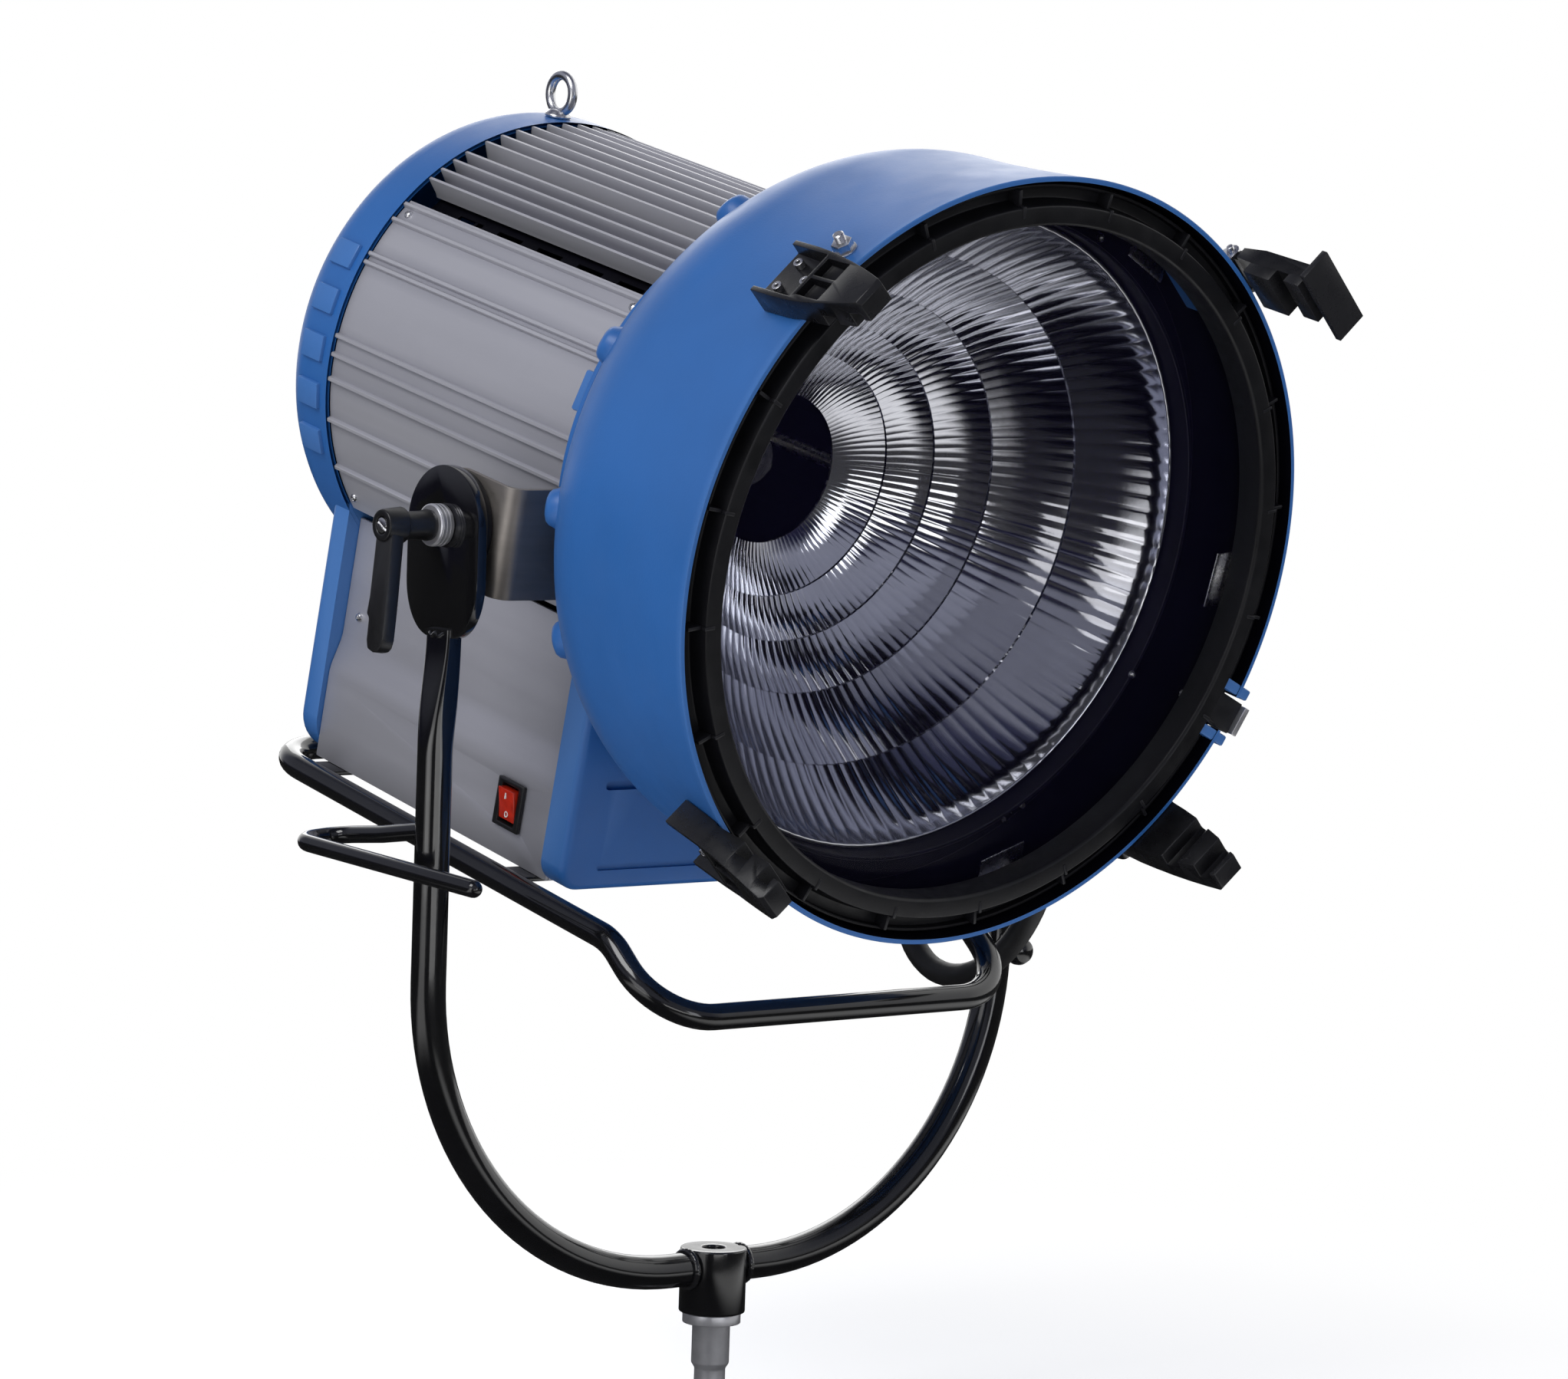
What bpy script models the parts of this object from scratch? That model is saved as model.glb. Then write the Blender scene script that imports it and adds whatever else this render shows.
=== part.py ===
"""A large open-faced daylight lamp head in its yoke: a faceted reflector behind a glass front, held in a
blue bell, a round finned body with a control box below it, and a steel yoke on a spigot. Metres, +Z up,
front towards -Y. The origin is the middle of the spigot's lower end."""

import math

import bmesh
import bpy
from mathutils import Matrix, Vector

# Stand fitting and yoke
SPIGOT_RADIUS = 0.014
SPIGOT_LENGTH = 0.088
HUB_RADIUS = 0.0245
HUB_HEIGHT = 0.048
HUB_BORE_RADIUS = 0.0085
HUB_TOP_ABOVE_TUBE = 0.0145
YOKE_TUBE_RADIUS = 0.0125
YOKE_HALF_WIDTH = 0.266
YOKE_CORNER_RADIUS = 0.225
YOKE_DROP = 0.548
YOKE_FLAT_LENGTH = 0.090
EAR_RADIUS = 0.042
EAR_STRAIGHT = 0.038
EAR_NECK_DROP = 0.079
EAR_NECK_HALF = 0.0115
EAR_THICKNESS = 0.008
EAR_OVERLAP = 0.006
EAR_OUTER_X = YOKE_HALF_WIDTH - 0.001
HOOK_ROD_RADIUS = 0.00625
PEG_RADIUS = 0.011
PEG_LENGTH = 0.018
PEG_DROP = 0.325

# Tilt pivot
HEAD_TILT = math.radians(12.44)
AXIS_ABOVE_PIVOT = 0.049
PIVOT_BOLT_RADIUS = 0.008
PIVOT_HEAD_RADIUS = 0.014
PIVOT_HEAD_HEIGHT = 0.005
BRACKET_OUTER_X = EAR_OUTER_X - 0.015
BRACKET_THICKNESS = 0.004
BRACKET_HALF_HEIGHT = 0.040
BRACKET_BEND_RADIUS = 0.014
BRACKET_FILLET = 0.030
BRACKET_RING_RADIUS = 0.188
BRACKET_RING_INNER = 0.168
FRICTION_DISC_RADIUS = 0.039
WASHER_RADIUS = 0.015
WASHER_LENGTH = 0.011
LEVER_STEM_LENGTH = 0.024
LEVER_HUB_RADIUS = 0.013
LEVER_HUB_LENGTH = 0.017
LEVER_LENGTH = 0.089

# Body of the head
GAP = 0.0003
DRUM_RADIUS = 0.187
DRUM_WALL = 0.003
RIDGE_HEIGHT = 0.003
RIDGE_WIDTH = 0.0035
DRUM_FRONT = 0.027
DRUM_LENGTH = 0.299
SIDE_PANEL_TOP = 48.0
SIDE_PANEL_BOTTOM = 128.0
SIDE_RIDGES = (49.5, 54.0, 63.6, 65.8, 84.0, 88.4, 94.2, 104.0, 116.0)
FIN_ROOT_RADIUS = 0.170
FIN_WALL = 0.003
FIN_THICKNESS = 0.0024
SIDE_FINS = (30.0, 33.7, 37.4, 41.0)
TOP_FIN_PITCH = 4.4
TOP_FIN_COUNT = 12
BAFFLE_RADIUS = 0.1665
BAFFLE_WALL = 0.0015
BAFFLE_SLOT_LENGTH = 0.030
BAFFLE_SLOT_WIDTH = 0.005
BAFFLE_SLOTS = 5
BOX_HALF_WIDTH = 0.144
BOX_STEP = 0.007
BOX_WALL = 0.003
BOX_TOP = -0.121
BOX_STEP_TOP = -0.214
BOX_STEP_BOTTOM = -0.238
BOX_BOTTOM = -0.308
CASTING_RADIUS = 0.190
CASTING_FLANGE = 0.205
CASTING_FRONT = 0.0497
CASTING_WALL = 0.0035
CASTING_BOX_HALF = 0.151
CASTING_BOX_FRONT = 0.054
CASTING_BOX_FACE = 0.007
CASTING_CORNER = 0.018
WEB_BACK = 0.0205
WEB_HOLE_RADIUS = 0.062
COVER_RADIUS = 0.188
COVER_WALL = 0.003
COVER_STRAIGHT = 0.030
COVER_DOME = 0.048
COVER_BOX_HALF = 0.148
COVER_BOX_DEPTH = 0.026
COVER_LOUVRES = 5
EYE_RADIUS = 0.0140
EYE_ROD_RADIUS = 0.0038

# Bell, reflector and glass
BELL_RIM_RADIUS = 0.275
BELL_SIDE_RADIUS = BELL_RIM_RADIUS - 0.013
BELL_RIM_FRONT = 0.284
BELL_SIDE_BACK = 0.154
BELL_DOME_CENTRE = 0.160
BELL_WALL = 0.0035
BELL_FLARE = 1.3
BELL_STEPS = 52
BELL_BACK = 0.0543
BELL_NECK_RADIUS = 0.150
BELL_FOOT_RADIUS = 0.1665
BELL_LUGS = {-1: (32.0, 64.0, 93.0, 117.0), 1: (32.0, 64.0, 117.0)}
BELL_LUG_RADIUS = 0.015
BELL_LUG_PLACE = 0.236
BELL_LUG_HEIGHT = 0.008
REFLECTOR_TIERS = (0.056, 0.091, 0.1185, 0.149, 0.188, 0.228)
REFLECTOR_BACK = 0.027
REFLECTOR_DEPTH = 0.173
REFLECTOR_STEP = 0.0022
REFLECTOR_WALL = 0.0018
REFLECTOR_FLANGE = 0.0035
REFLECTOR_FLUTES = 36
REFLECTOR_FLUTE_DEPTH = 0.0016
HOLDER_RADIUS = 0.233
HOLDER_FRONT = 0.217
HOLDER_BACK = 0.188
HOLDER_WALL = 0.003
RING_OUTER_RADIUS = BELL_RIM_RADIUS - 0.007
RING_INNER_RADIUS = RING_OUTER_RADIUS - 0.027
RING_LIP_RADIUS = RING_OUTER_RADIUS - 0.013
RING_TAB_RADIUS = RING_OUTER_RADIUS + 0.0195
RING_FRONT = 0.286
RING_GROOVE_FRONT = 0.270
RING_BACK = 0.262
RING_RIBS = 20
GLASS_RADIUS = RING_OUTER_RADIUS - 0.015
GLASS_THICKNESS = 0.005
LATCH_ANGLE = 114.5
LATCH_HALF_WIDTH = 0.011
CLIP_ANGLES = (28.0, 95.0, 160.0)

# Claws for accessories, as seen from the front, clockwise from the top
CLAW_ANGLES = {"claw_top_left": -47.0, "claw_bottom_right": 135.0, "claw_bottom_left": -135.0}
SAFETY_CLAW_ANGLE = 43.0
CLAW_BACK = 0.2418
CLAW_FRONT = 0.3538
CLAW_HALF_BACK = 0.0235
CLAW_HALF_FRONT = 0.0105
CLAW_TOP_BACK = BELL_RIM_RADIUS + 0.0155
CLAW_TOP_FRONT = BELL_RIM_RADIUS + 0.029
CLAW_INNER_RADIUS = BELL_RIM_RADIUS + 0.0005
CLAW_TOOTH_RADIUS = BELL_RIM_RADIUS + 0.004
CLAW_SLOT_RADIUS = BELL_RIM_RADIUS + 0.0105
CLAW_LIP_RADIUS = BELL_RIM_RADIUS + 0.011
CLAW_FRONT_SLOT_RADIUS = BELL_RIM_RADIUS + 0.017
CLAW_HINGE_RADIUS = BELL_RIM_RADIUS + 0.0135
CLAW_HINGE_FORWARD = 0.262
CLAW_PLATE_HALF = 0.0325
CLAW_ARM_HALF = 0.0185

# Lamp, its carriage and its focus drive
LAMP_RADIUS = 0.030
LAMP_TIP = 0.020
LAMP_BASE_FRONT = -0.105
HOLDER_BLOCK_FRONT = -0.1353
HOLDER_BLOCK_DEPTH = 0.030
HOLDER_BLOCK_HALF = 0.082
ROD_RADIUS = 0.005
ROD_SPREAD = 0.070
SPINDLE_RADIUS = 0.004
SPINDLE_DROP = 0.045
SPINDLE_FRONT = -0.060
BULKHEAD_FRONT = -0.215
BULKHEAD_WALL = 0.003
FOCUS_KNOB_RADIUS = 0.020
FOCUS_KNOB_LENGTH = 0.022

# Skid frame, switch and cable
SKID_TUBE_RADIUS = 0.0095
SKID_HALF_WIDTH = 0.165
SKID_LEVEL = -0.314
SKID_FRONT_LEVEL = -0.3505
SKID_BACK = -0.308
SKID_DIP = 0.137
SKID_FRONT = 0.204
SKID_BEND = 0.050
SKID_STRIP_WIDTH = 0.024
SKID_STRIP_THICKNESS = 0.004
SWITCH_FORWARD = -0.0257
SWITCH_LEVEL = -0.2677
SWITCH_LENGTH = 0.031
SWITCH_HEIGHT = 0.036
ROCKER_LENGTH = 0.019
ROCKER_HEIGHT = 0.028
CABLE_RADIUS = 0.00925
GLAND_FORWARD = -0.045
GLAND_LEVEL = -0.2637
GLAND_RADIUS = 0.0145
GLAND_LENGTH = 0.031
PLUG_RADIUS = 0.021
PLUG_LENGTH = 0.088

PIVOT_Z = SPIGOT_LENGTH + HUB_HEIGHT - HUB_TOP_ABOVE_TUBE + YOKE_DROP
DRUM_BACK = DRUM_FRONT - DRUM_LENGTH
SIDES = {"left": -1, "right": 1}

for old in list(bpy.data.objects):
    bpy.data.objects.remove(old, do_unlink=True)

parts = bpy.data.collections.new("daylight_lamp_head")
bpy.context.scene.collection.children.link(parts)
cutters = bpy.data.collections.new("cutters")
cutters.hide_render = True
bpy.context.scene.collection.children.link(cutters)


def make_material(name, colour, roughness, metallic):
    made = bpy.data.materials.new(name)
    made.use_nodes = True
    surface = made.node_tree.nodes["Principled BSDF"]
    surface.inputs["Base Color"].default_value = (*colour, 1.0)
    surface.inputs["Roughness"].default_value = roughness
    surface.inputs["Metallic"].default_value = metallic
    made.diffuse_color = (*colour, 1.0)
    return made


BLUE = make_material("blue_paint", (0.035, 0.135, 0.45), 0.45, 0.0)
ALUMINIUM = make_material("anodised_aluminium", (0.52, 0.53, 0.55), 0.38, 0.9)
BLACK = make_material("black_paint", (0.012, 0.012, 0.013), 0.25, 0.0)
DARK = make_material("black_casting", (0.008, 0.008, 0.009), 0.5, 0.0)
STEEL = make_material("dark_steel", (0.12, 0.115, 0.11), 0.4, 0.9)
CHROME = make_material("bright_steel", (0.75, 0.75, 0.76), 0.15, 1.0)
MIRROR = make_material("mirror", (0.85, 0.86, 0.9), 0.06, 1.0)
GLASS = make_material("front_glass", (0.85, 0.85, 0.95), 0.02, 0.0)
CERAMIC = make_material("ceramic", (0.75, 0.72, 0.66), 0.6, 0.0)
RUBBER = make_material("black_rubber", (0.015, 0.015, 0.016), 0.6, 0.0)
RED = make_material("red_rocker", (0.55, 0.03, 0.01), 0.2, 0.0)


def make_empty(name, parent=None, location=(0, 0, 0), rotation=(0, 0, 0)):
    empty = bpy.data.objects.new(name, None)
    parts.objects.link(empty)
    empty.parent = parent
    empty.location = location
    empty.rotation_euler = rotation
    return empty


# Frames: the head turns about tilt_axis; in optical_axis, x is right, y is up and z points out of the bell
tilt_axis = make_empty("tilt_axis", None, (0, 0, PIVOT_Z), (HEAD_TILT, 0, 0))
optical_axis = make_empty("optical_axis", tilt_axis, (0, 0, AXIS_ABOVE_PIVOT), (math.pi / 2, 0, 0))
yoke_frame = make_empty("yoke_frame", None, (0, 0, PIVOT_Z))


def polar(radius, degrees):
    """A point on a circle about the optical axis, clockwise from the top as seen from the front."""
    turn = math.radians(degrees)
    return (radius * math.sin(turn), radius * math.cos(turn))


def arc(centre, radius, start, end, steps):
    """Points on an arc, in degrees anticlockwise from the first axis."""
    points = []
    for step in range(steps + 1):
        turn = math.radians(start + (end - start) * step / steps)
        points.append((centre[0] + radius * math.cos(turn), centre[1] + radius * math.sin(turn)))
    return points


def add_object(name, mesh, surface, parent):
    made = bpy.data.objects.new(name, mesh)
    parts.objects.link(made)
    made.parent = parent
    if surface is not None:
        mesh.materials.append(surface)
    return made


def shade_round(mesh, degrees=35):
    mesh.shade_smooth()
    mesh.set_sharp_from_angle(angle=math.radians(degrees))


def mesh_of_curve(curve):
    """The closed mesh of a curve with filled caps."""
    holder = bpy.data.objects.new(curve.name, curve)
    parts.objects.link(holder)
    bpy.context.view_layer.update()
    mesh = bpy.data.meshes.new_from_object(holder.evaluated_get(bpy.context.evaluated_depsgraph_get()))
    bpy.data.objects.remove(holder, do_unlink=True)
    bpy.data.curves.remove(curve)
    work = bmesh.new()
    work.from_mesh(mesh)
    bmesh.ops.remove_doubles(work, verts=work.verts, dist=1e-6)
    bmesh.ops.recalc_face_normals(work, faces=work.faces)
    work.to_mesh(mesh)
    work.free()
    return mesh


PLANES = {
    "xy": Matrix(((1, 0, 0), (0, 1, 0), (0, 0, 1))),
    "zy": Matrix(((0, 0, -1), (0, 1, 0), (1, 0, 0))),
    "xz": Matrix(((1, 0, 0), (0, 0, -1), (0, 1, 0))),
    "yz": Matrix(((0, 0, 1), (1, 0, 0), (0, 1, 0))),
}


def slab(name, outlines, low, high, plane="xy"):
    """Outlines in a plane made solid from low to high along its normal. The second outline on are holes."""
    curve = bpy.data.curves.new(name, "CURVE")
    curve.dimensions = "2D"
    curve.fill_mode = "BOTH"
    curve.extrude = abs(high - low) / 2
    for outline in outlines:
        spline = curve.splines.new("POLY")
        spline.points.add(len(outline) - 1)
        for point, (first, second) in zip(spline.points, outline):
            point.co = (first, second, 0, 1)
        spline.use_cyclic_u = True
    mesh = mesh_of_curve(curve)
    work = bmesh.new()
    work.from_mesh(mesh)
    bmesh.ops.dissolve_limit(work, angle_limit=math.radians(0.5), verts=work.verts, edges=work.edges)
    work.to_mesh(mesh)
    work.free()
    turn = PLANES[plane].to_4x4()
    mesh.transform(turn @ Matrix.Translation((0, 0, (low + high) / 2)))
    return mesh


def tube_mesh(name, points, radius, cyclic=False, sides=12):
    curve = bpy.data.curves.new(name, "CURVE")
    curve.dimensions = "3D"
    curve.bevel_depth = radius
    curve.bevel_resolution = (sides - 4) // 2
    curve.use_fill_caps = not cyclic
    spline = curve.splines.new("POLY")
    spline.points.add(len(points) - 1)
    for point, place in zip(spline.points, points):
        point.co = (*place, 1)
    spline.use_cyclic_u = cyclic
    mesh = mesh_of_curve(curve)
    shade_round(mesh, 50)
    return mesh


def block(low, high):
    """A box between two corners."""
    mesh = bpy.data.meshes.new("block")
    work = bmesh.new()
    size = [b - a for a, b in zip(low, high)]
    middle = [(a + b) / 2 for a, b in zip(low, high)]
    bmesh.ops.create_cube(work, size=1.0, matrix=Matrix.Translation(middle) @ Matrix.Diagonal((*size, 1)))
    work.to_mesh(mesh)
    work.free()
    return mesh


def rod(radius, start, end, steps=24, end_radius=None):
    """A round bar, or a cone, between two points."""
    start, end = Vector(start), Vector(end)
    along = end - start
    turn = along.to_track_quat("Z", "Y").to_matrix().to_4x4()
    mesh = bpy.data.meshes.new("rod")
    work = bmesh.new()
    bmesh.ops.create_cone(
        work, cap_ends=True, segments=steps, radius1=radius,
        radius2=radius if end_radius is None else end_radius, depth=along.length,
        matrix=Matrix.Translation((start + end) / 2) @ turn)
    work.to_mesh(mesh)
    work.free()
    shade_round(mesh)
    return mesh


def ball(radius, middle, steps=12):
    mesh = bpy.data.meshes.new("ball")
    work = bmesh.new()
    bmesh.ops.create_uvsphere(
        work, u_segments=steps, v_segments=steps // 2, radius=radius, matrix=Matrix.Translation(middle))
    work.to_mesh(mesh)
    work.free()
    mesh.shade_smooth()
    return mesh


def turned(name, profile, surface, parent, steps=64, closed=True):
    """A profile of (radius, forward) turned about the parent's z axis."""
    area = 0.0
    for (x0, z0), (x1, z1) in zip(profile, profile[1:] + profile[:1]):
        area += x0 * z1 - x1 * z0
    if area > 0:
        profile = profile[::-1]
    mesh = bpy.data.meshes.new(name)
    edges = [(i, i + 1) for i in range(len(profile) - 1)]
    if closed:
        edges.append((len(profile) - 1, 0))
    mesh.from_pydata([(radius, 0, forward) for radius, forward in profile], edges, [])
    made = add_object(name, mesh, surface, parent)
    screw = made.modifiers.new("turn", "SCREW")
    screw.axis = "Z"
    screw.steps = steps
    screw.render_steps = steps
    screw.use_merge_vertices = True
    screw.merge_threshold = 0.00001
    screw.use_smooth_shade = True
    return made


def as_mesh(made):
    """The object's modifiers made real, so that it can be measured against or joined in turn."""
    bpy.context.view_layer.update()
    mesh = bpy.data.meshes.new_from_object(made.evaluated_get(bpy.context.evaluated_depsgraph_get()))
    mesh.transform(made.matrix_local)
    bpy.data.objects.remove(made, do_unlink=True)
    return mesh


def helper(name, mesh, parent):
    """A cutter, or a piece that is joined to another, kept out of the render."""
    made = bpy.data.objects.new(name, mesh)
    cutters.objects.link(made)
    made.parent = parent
    made.hide_render = True
    made.display_type = "WIRE"
    return made


def combine(made, meshes, operation):
    """Cuts meshes from an object, or joins them to it, in the frame of the object's parent."""
    for mesh in meshes:
        modifier = made.modifiers.new(operation.lower(), "BOOLEAN")
        modifier.operation = operation
        modifier.object = helper(f"{made.name}_{operation.lower()}", mesh, made.parent)


def cut(made, *meshes):
    combine(made, meshes, "DIFFERENCE")


def join(made, *meshes):
    combine(made, meshes, "UNION")


def several(meshes):
    """Separate closed shapes as one mesh, to be cut or joined in one step."""
    work = bmesh.new()
    for mesh in meshes:
        work.from_mesh(mesh)
    mesh = bpy.data.meshes.new("several")
    work.to_mesh(mesh)
    work.free()
    return mesh


def moved(mesh, offset=(0, 0, 0), turn=0.0, axis="Z"):
    mesh.transform(Matrix.Rotation(turn, 4, axis) @ Matrix.Translation(offset))
    return mesh


def around(mesh_maker, angles):
    """One shape made at each angle about the optical axis."""
    return several([moved(mesh_maker(), turn=-math.radians(angle)) for angle in angles])


def rounded_route(corners, closed=False, arc_steps=6):
    """A path through corners (x, y, z, bend radius), with an arc at each bend."""
    count = len(corners)
    route = []
    for index, (x, y, z, radius) in enumerate(corners):
        here = Vector((x, y, z))
        if not closed and index in (0, count - 1):
            route.append(here)
            continue
        before = (Vector(corners[index - 1][:3]) - here).normalized()
        after = (Vector(corners[(index + 1) % count][:3]) - here).normalized()
        half = before.angle(after) / 2
        centre = here + (before + after).normalized() * radius / math.sin(half)
        first = here + before * radius / math.tan(half) - centre
        last = here + after * radius / math.tan(half) - centre
        sweep = first.angle(last)
        for step in range(arc_steps + 1):
            part = step / arc_steps
            route.append(centre + (first * math.sin((1 - part) * sweep) + last * math.sin(part * sweep))
                         / math.sin(sweep))
    return [tuple(point) for point in route]


def smooth_route(points, count):
    """Evenly spaced points on a smooth curve through the given ones."""
    dense = []
    padded = [points[0]] + list(points) + [points[-1]]
    for index in range(len(points) - 1):
        a, b, c, d = (Vector(p) for p in padded[index:index + 4])
        for step in range(12):
            t = step / 12
            dense.append(0.5 * (2 * b + (c - a) * t + (2 * a - 5 * b + 4 * c - d) * t * t
                                + (3 * b - a - 3 * c + d) * t ** 3))
    dense.append(Vector(points[-1]))
    lengths = [0.0]
    for first, second in zip(dense, dense[1:]):
        lengths.append(lengths[-1] + (second - first).length)
    route = []
    index = 0
    for step in range(count):
        target = lengths[-1] * step / (count - 1)
        while index < len(lengths) - 2 and lengths[index + 1] < target:
            index += 1
        span = lengths[index + 1] - lengths[index]
        route.append(tuple(dense[index].lerp(dense[index + 1], (target - lengths[index]) / span)))
    return route


# The yoke: two bent tubes welded to a hub on a spigot, each with a flat ear at its top

def yoke_arm(name, side):
    tube_level = -YOKE_DROP
    corner = (side * (YOKE_HALF_WIDTH - YOKE_CORNER_RADIUS), tube_level + YOKE_CORNER_RADIUS)
    top = -EAR_NECK_DROP + EAR_OVERLAP
    flat_end = top - YOKE_FLAT_LENGTH
    route = [(side * YOKE_HALF_WIDTH, 0, top + (flat_end - top) * step / 6) for step in range(7)]
    for step in range(15):
        turn = math.pi / 2 * step / 14
        route.append((corner[0] + side * YOKE_CORNER_RADIUS * math.cos(turn), 0,
                      corner[1] - YOKE_CORNER_RADIUS * math.sin(turn)))
    route.append((0, 0, tube_level))
    mesh = tube_mesh(name, route, YOKE_TUBE_RADIUS)
    ear_middle = EAR_OUTER_X - EAR_THICKNESS / 2
    flat_half_thick = EAR_THICKNESS / 2 + 0.003
    flat_half_wide = YOKE_TUBE_RADIUS + 0.001
    for vertex in mesh.vertices:
        if vertex.co.z < flat_end:
            continue
        part = min(1.0, (vertex.co.z - flat_end) / YOKE_FLAT_LENGTH)
        part = part * part * (3 - 2 * part)
        across = (vertex.co.x - side * YOKE_HALF_WIDTH) / YOKE_TUBE_RADIUS
        along = vertex.co.y / YOKE_TUBE_RADIUS
        largest = max(abs(across), abs(along), 1e-6)
        flat_x = side * ear_middle + across / largest * flat_half_thick
        flat_y = along / largest * flat_half_wide
        vertex.co.x += (flat_x - vertex.co.x) * part
        vertex.co.y += (flat_y - vertex.co.y) * part
    made = add_object(name, mesh, BLACK, yoke_frame)
    join(made, ear(side))
    hub_top = tube_level + HUB_TOP_ABOVE_TUBE
    cut(made, rod(HUB_RADIUS + GAP, (0, 0, hub_top - HUB_HEIGHT * 1.5), (0, 0, hub_top + HUB_HEIGHT / 2), 32))
    return made


def ear(side):
    """The flat plate at the top of an arm, round about the pivot and narrow at the weld."""
    outline = arc((0, 0), EAR_RADIUS, 0, 180, 20)
    taper = []
    for step in range(9):
        turn = math.pi / 2 * step / 8
        taper.append((EAR_NECK_HALF + (EAR_RADIUS - EAR_NECK_HALF) * math.cos(turn),
                      -EAR_STRAIGHT - (EAR_NECK_DROP - EAR_STRAIGHT) * math.sin(turn)))
    outline += [(-y, z) for y, z in taper] + taper[::-1]
    hole = arc((0, 0), PIVOT_BOLT_RADIUS + 2 * GAP, 0, 345, 23)
    low, high = sorted((side * (EAR_OUTER_X - EAR_THICKNESS), side * EAR_OUTER_X))
    return slab("ear", [outline, hole], low, high, "yz")


def hub_and_spigot():
    top = -YOKE_DROP + HUB_TOP_ABOVE_TUBE
    bottom = top - HUB_HEIGHT
    made = add_object("yoke_hub", rod(HUB_RADIUS, (0, 0, bottom), (0, 0, top), 32), BLACK, yoke_frame)
    cut(made, rod(HUB_BORE_RADIUS, (0, 0, bottom - 0.01), (0, 0, top + 0.01)))
    end = bottom - SPIGOT_LENGTH
    neck = SPIGOT_RADIUS - 0.0025
    pin_top = top - 0.012
    profile = [(0, end), (SPIGOT_RADIUS - 0.0015, end), (SPIGOT_RADIUS, end + 0.0015), (SPIGOT_RADIUS, end + 0.030),
               (neck, end + 0.034), (neck, end + 0.046), (SPIGOT_RADIUS, end + 0.050),
               (SPIGOT_RADIUS, bottom - 0.008), (HUB_RADIUS - 0.003, bottom - 0.008),
               (HUB_RADIUS - 0.003, bottom - GAP), (HUB_BORE_RADIUS - GAP, bottom - GAP),
               (HUB_BORE_RADIUS - GAP, pin_top), (0, pin_top)]
    turned("spigot", profile, CHROME, yoke_frame, steps=24, closed=False)


def cable_hook(name, side):
    """A rod welded to the arm, with a run to the rear, a turn and a long horn to the front."""
    arm_side = YOKE_HALF_WIDTH - YOKE_TUBE_RADIUS
    run, horn = YOKE_HALF_WIDTH - 0.001, YOKE_HALF_WIDTH + 0.037
    corners = [(side * (arm_side + 0.004), 0.0050, -0.2150, 0),
               (side * (run - 0.0025), 0.0650, -0.2240, 0.03),
               (side * run, 0.1130, -0.2290, 0.017),
               (side * horn, 0.1130, -0.2315, 0.017),
               (side * horn, -0.1000, -0.2430, 0)]
    mesh = tube_mesh(name, rounded_route(corners, arc_steps=4), HOOK_ROD_RADIUS, sides=8)
    made = add_object(name, mesh, BLACK, yoke_frame)
    join(made, ball(HOOK_ROD_RADIUS, corners[-1][:3]))
    cut(made, rod(YOKE_TUBE_RADIUS + GAP, (side * YOKE_HALF_WIDTH, 0, -0.30), (side * YOKE_HALF_WIDTH, 0, -0.17)))
    return made


def cable_peg():
    """A stub with a domed cap on the front of the right arm."""
    level = -PEG_DROP
    front = -YOKE_TUBE_RADIUS - PEG_LENGTH
    side = YOKE_HALF_WIDTH
    made = add_object("cable_peg", rod(PEG_RADIUS, (side, front, level), (side, -0.004, level), 20), BLACK,
                      yoke_frame)
    join(made, ball(PEG_RADIUS, (side, front, level), 16))
    cut(made, rod(YOKE_TUBE_RADIUS + 3 * GAP, (side, 0, level - 0.03), (side, 0, level + 0.03)))


for side_name, side_sign in SIDES.items():
    yoke_arm(f"yoke_arm_{side_name}", side_sign)
    cable_hook(f"hook_{side_name}", side_sign)
hub_and_spigot()
cable_peg()


# The tilt pivot: a bolt through bracket, disc, ear and washer on each side, and the clamping lever

def washer(name, side, start, length, radius, parent, surface, height=0.0):
    hole = PIVOT_BOLT_RADIUS + GAP
    low, high = sorted((side * start, side * (start + length)))
    outlines = [arc((0, height), radius, 0, 348.75, 31), arc((0, height), hole, 0, 345, 23)]
    return add_object(name, slab(name, outlines, low, high, "yz"), surface, parent)


def pivot_side(side_name, side):
    disc_start = BRACKET_OUTER_X + GAP
    disc_length = EAR_OUTER_X - EAR_THICKNESS - BRACKET_OUTER_X - 2 * GAP
    washer(f"friction_disc_{side_name}", side, disc_start, disc_length, FRICTION_DISC_RADIUS, tilt_axis, DARK)
    washer_start = EAR_OUTER_X + GAP
    washer(f"clamp_washer_{side_name}", side, washer_start, WASHER_LENGTH, WASHER_RADIUS, yoke_frame, ALUMINIUM)
    plate_inside = BRACKET_OUTER_X - BRACKET_THICKNESS - GAP
    nut_start = washer_start + WASHER_LENGTH + GAP
    bolt_end = nut_start + (LEVER_STEM_LENGTH - 0.004 if side < 0 else 0.013)
    bolt = add_object(f"pivot_bolt_{side_name}",
                      rod(PIVOT_BOLT_RADIUS, (side * plate_inside, 0, 0), (side * bolt_end, 0, 0)), CHROME, tilt_axis)
    join(bolt, rod(PIVOT_HEAD_RADIUS, (side * (plate_inside - PIVOT_HEAD_HEIGHT), 0, 0),
                   (side * plate_inside, 0, 0), 6))
    if side > 0:
        join(bolt, rod(PIVOT_HEAD_RADIUS, (nut_start, 0, 0), (nut_start + 0.010, 0, 0), 6))
    return nut_start


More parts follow.
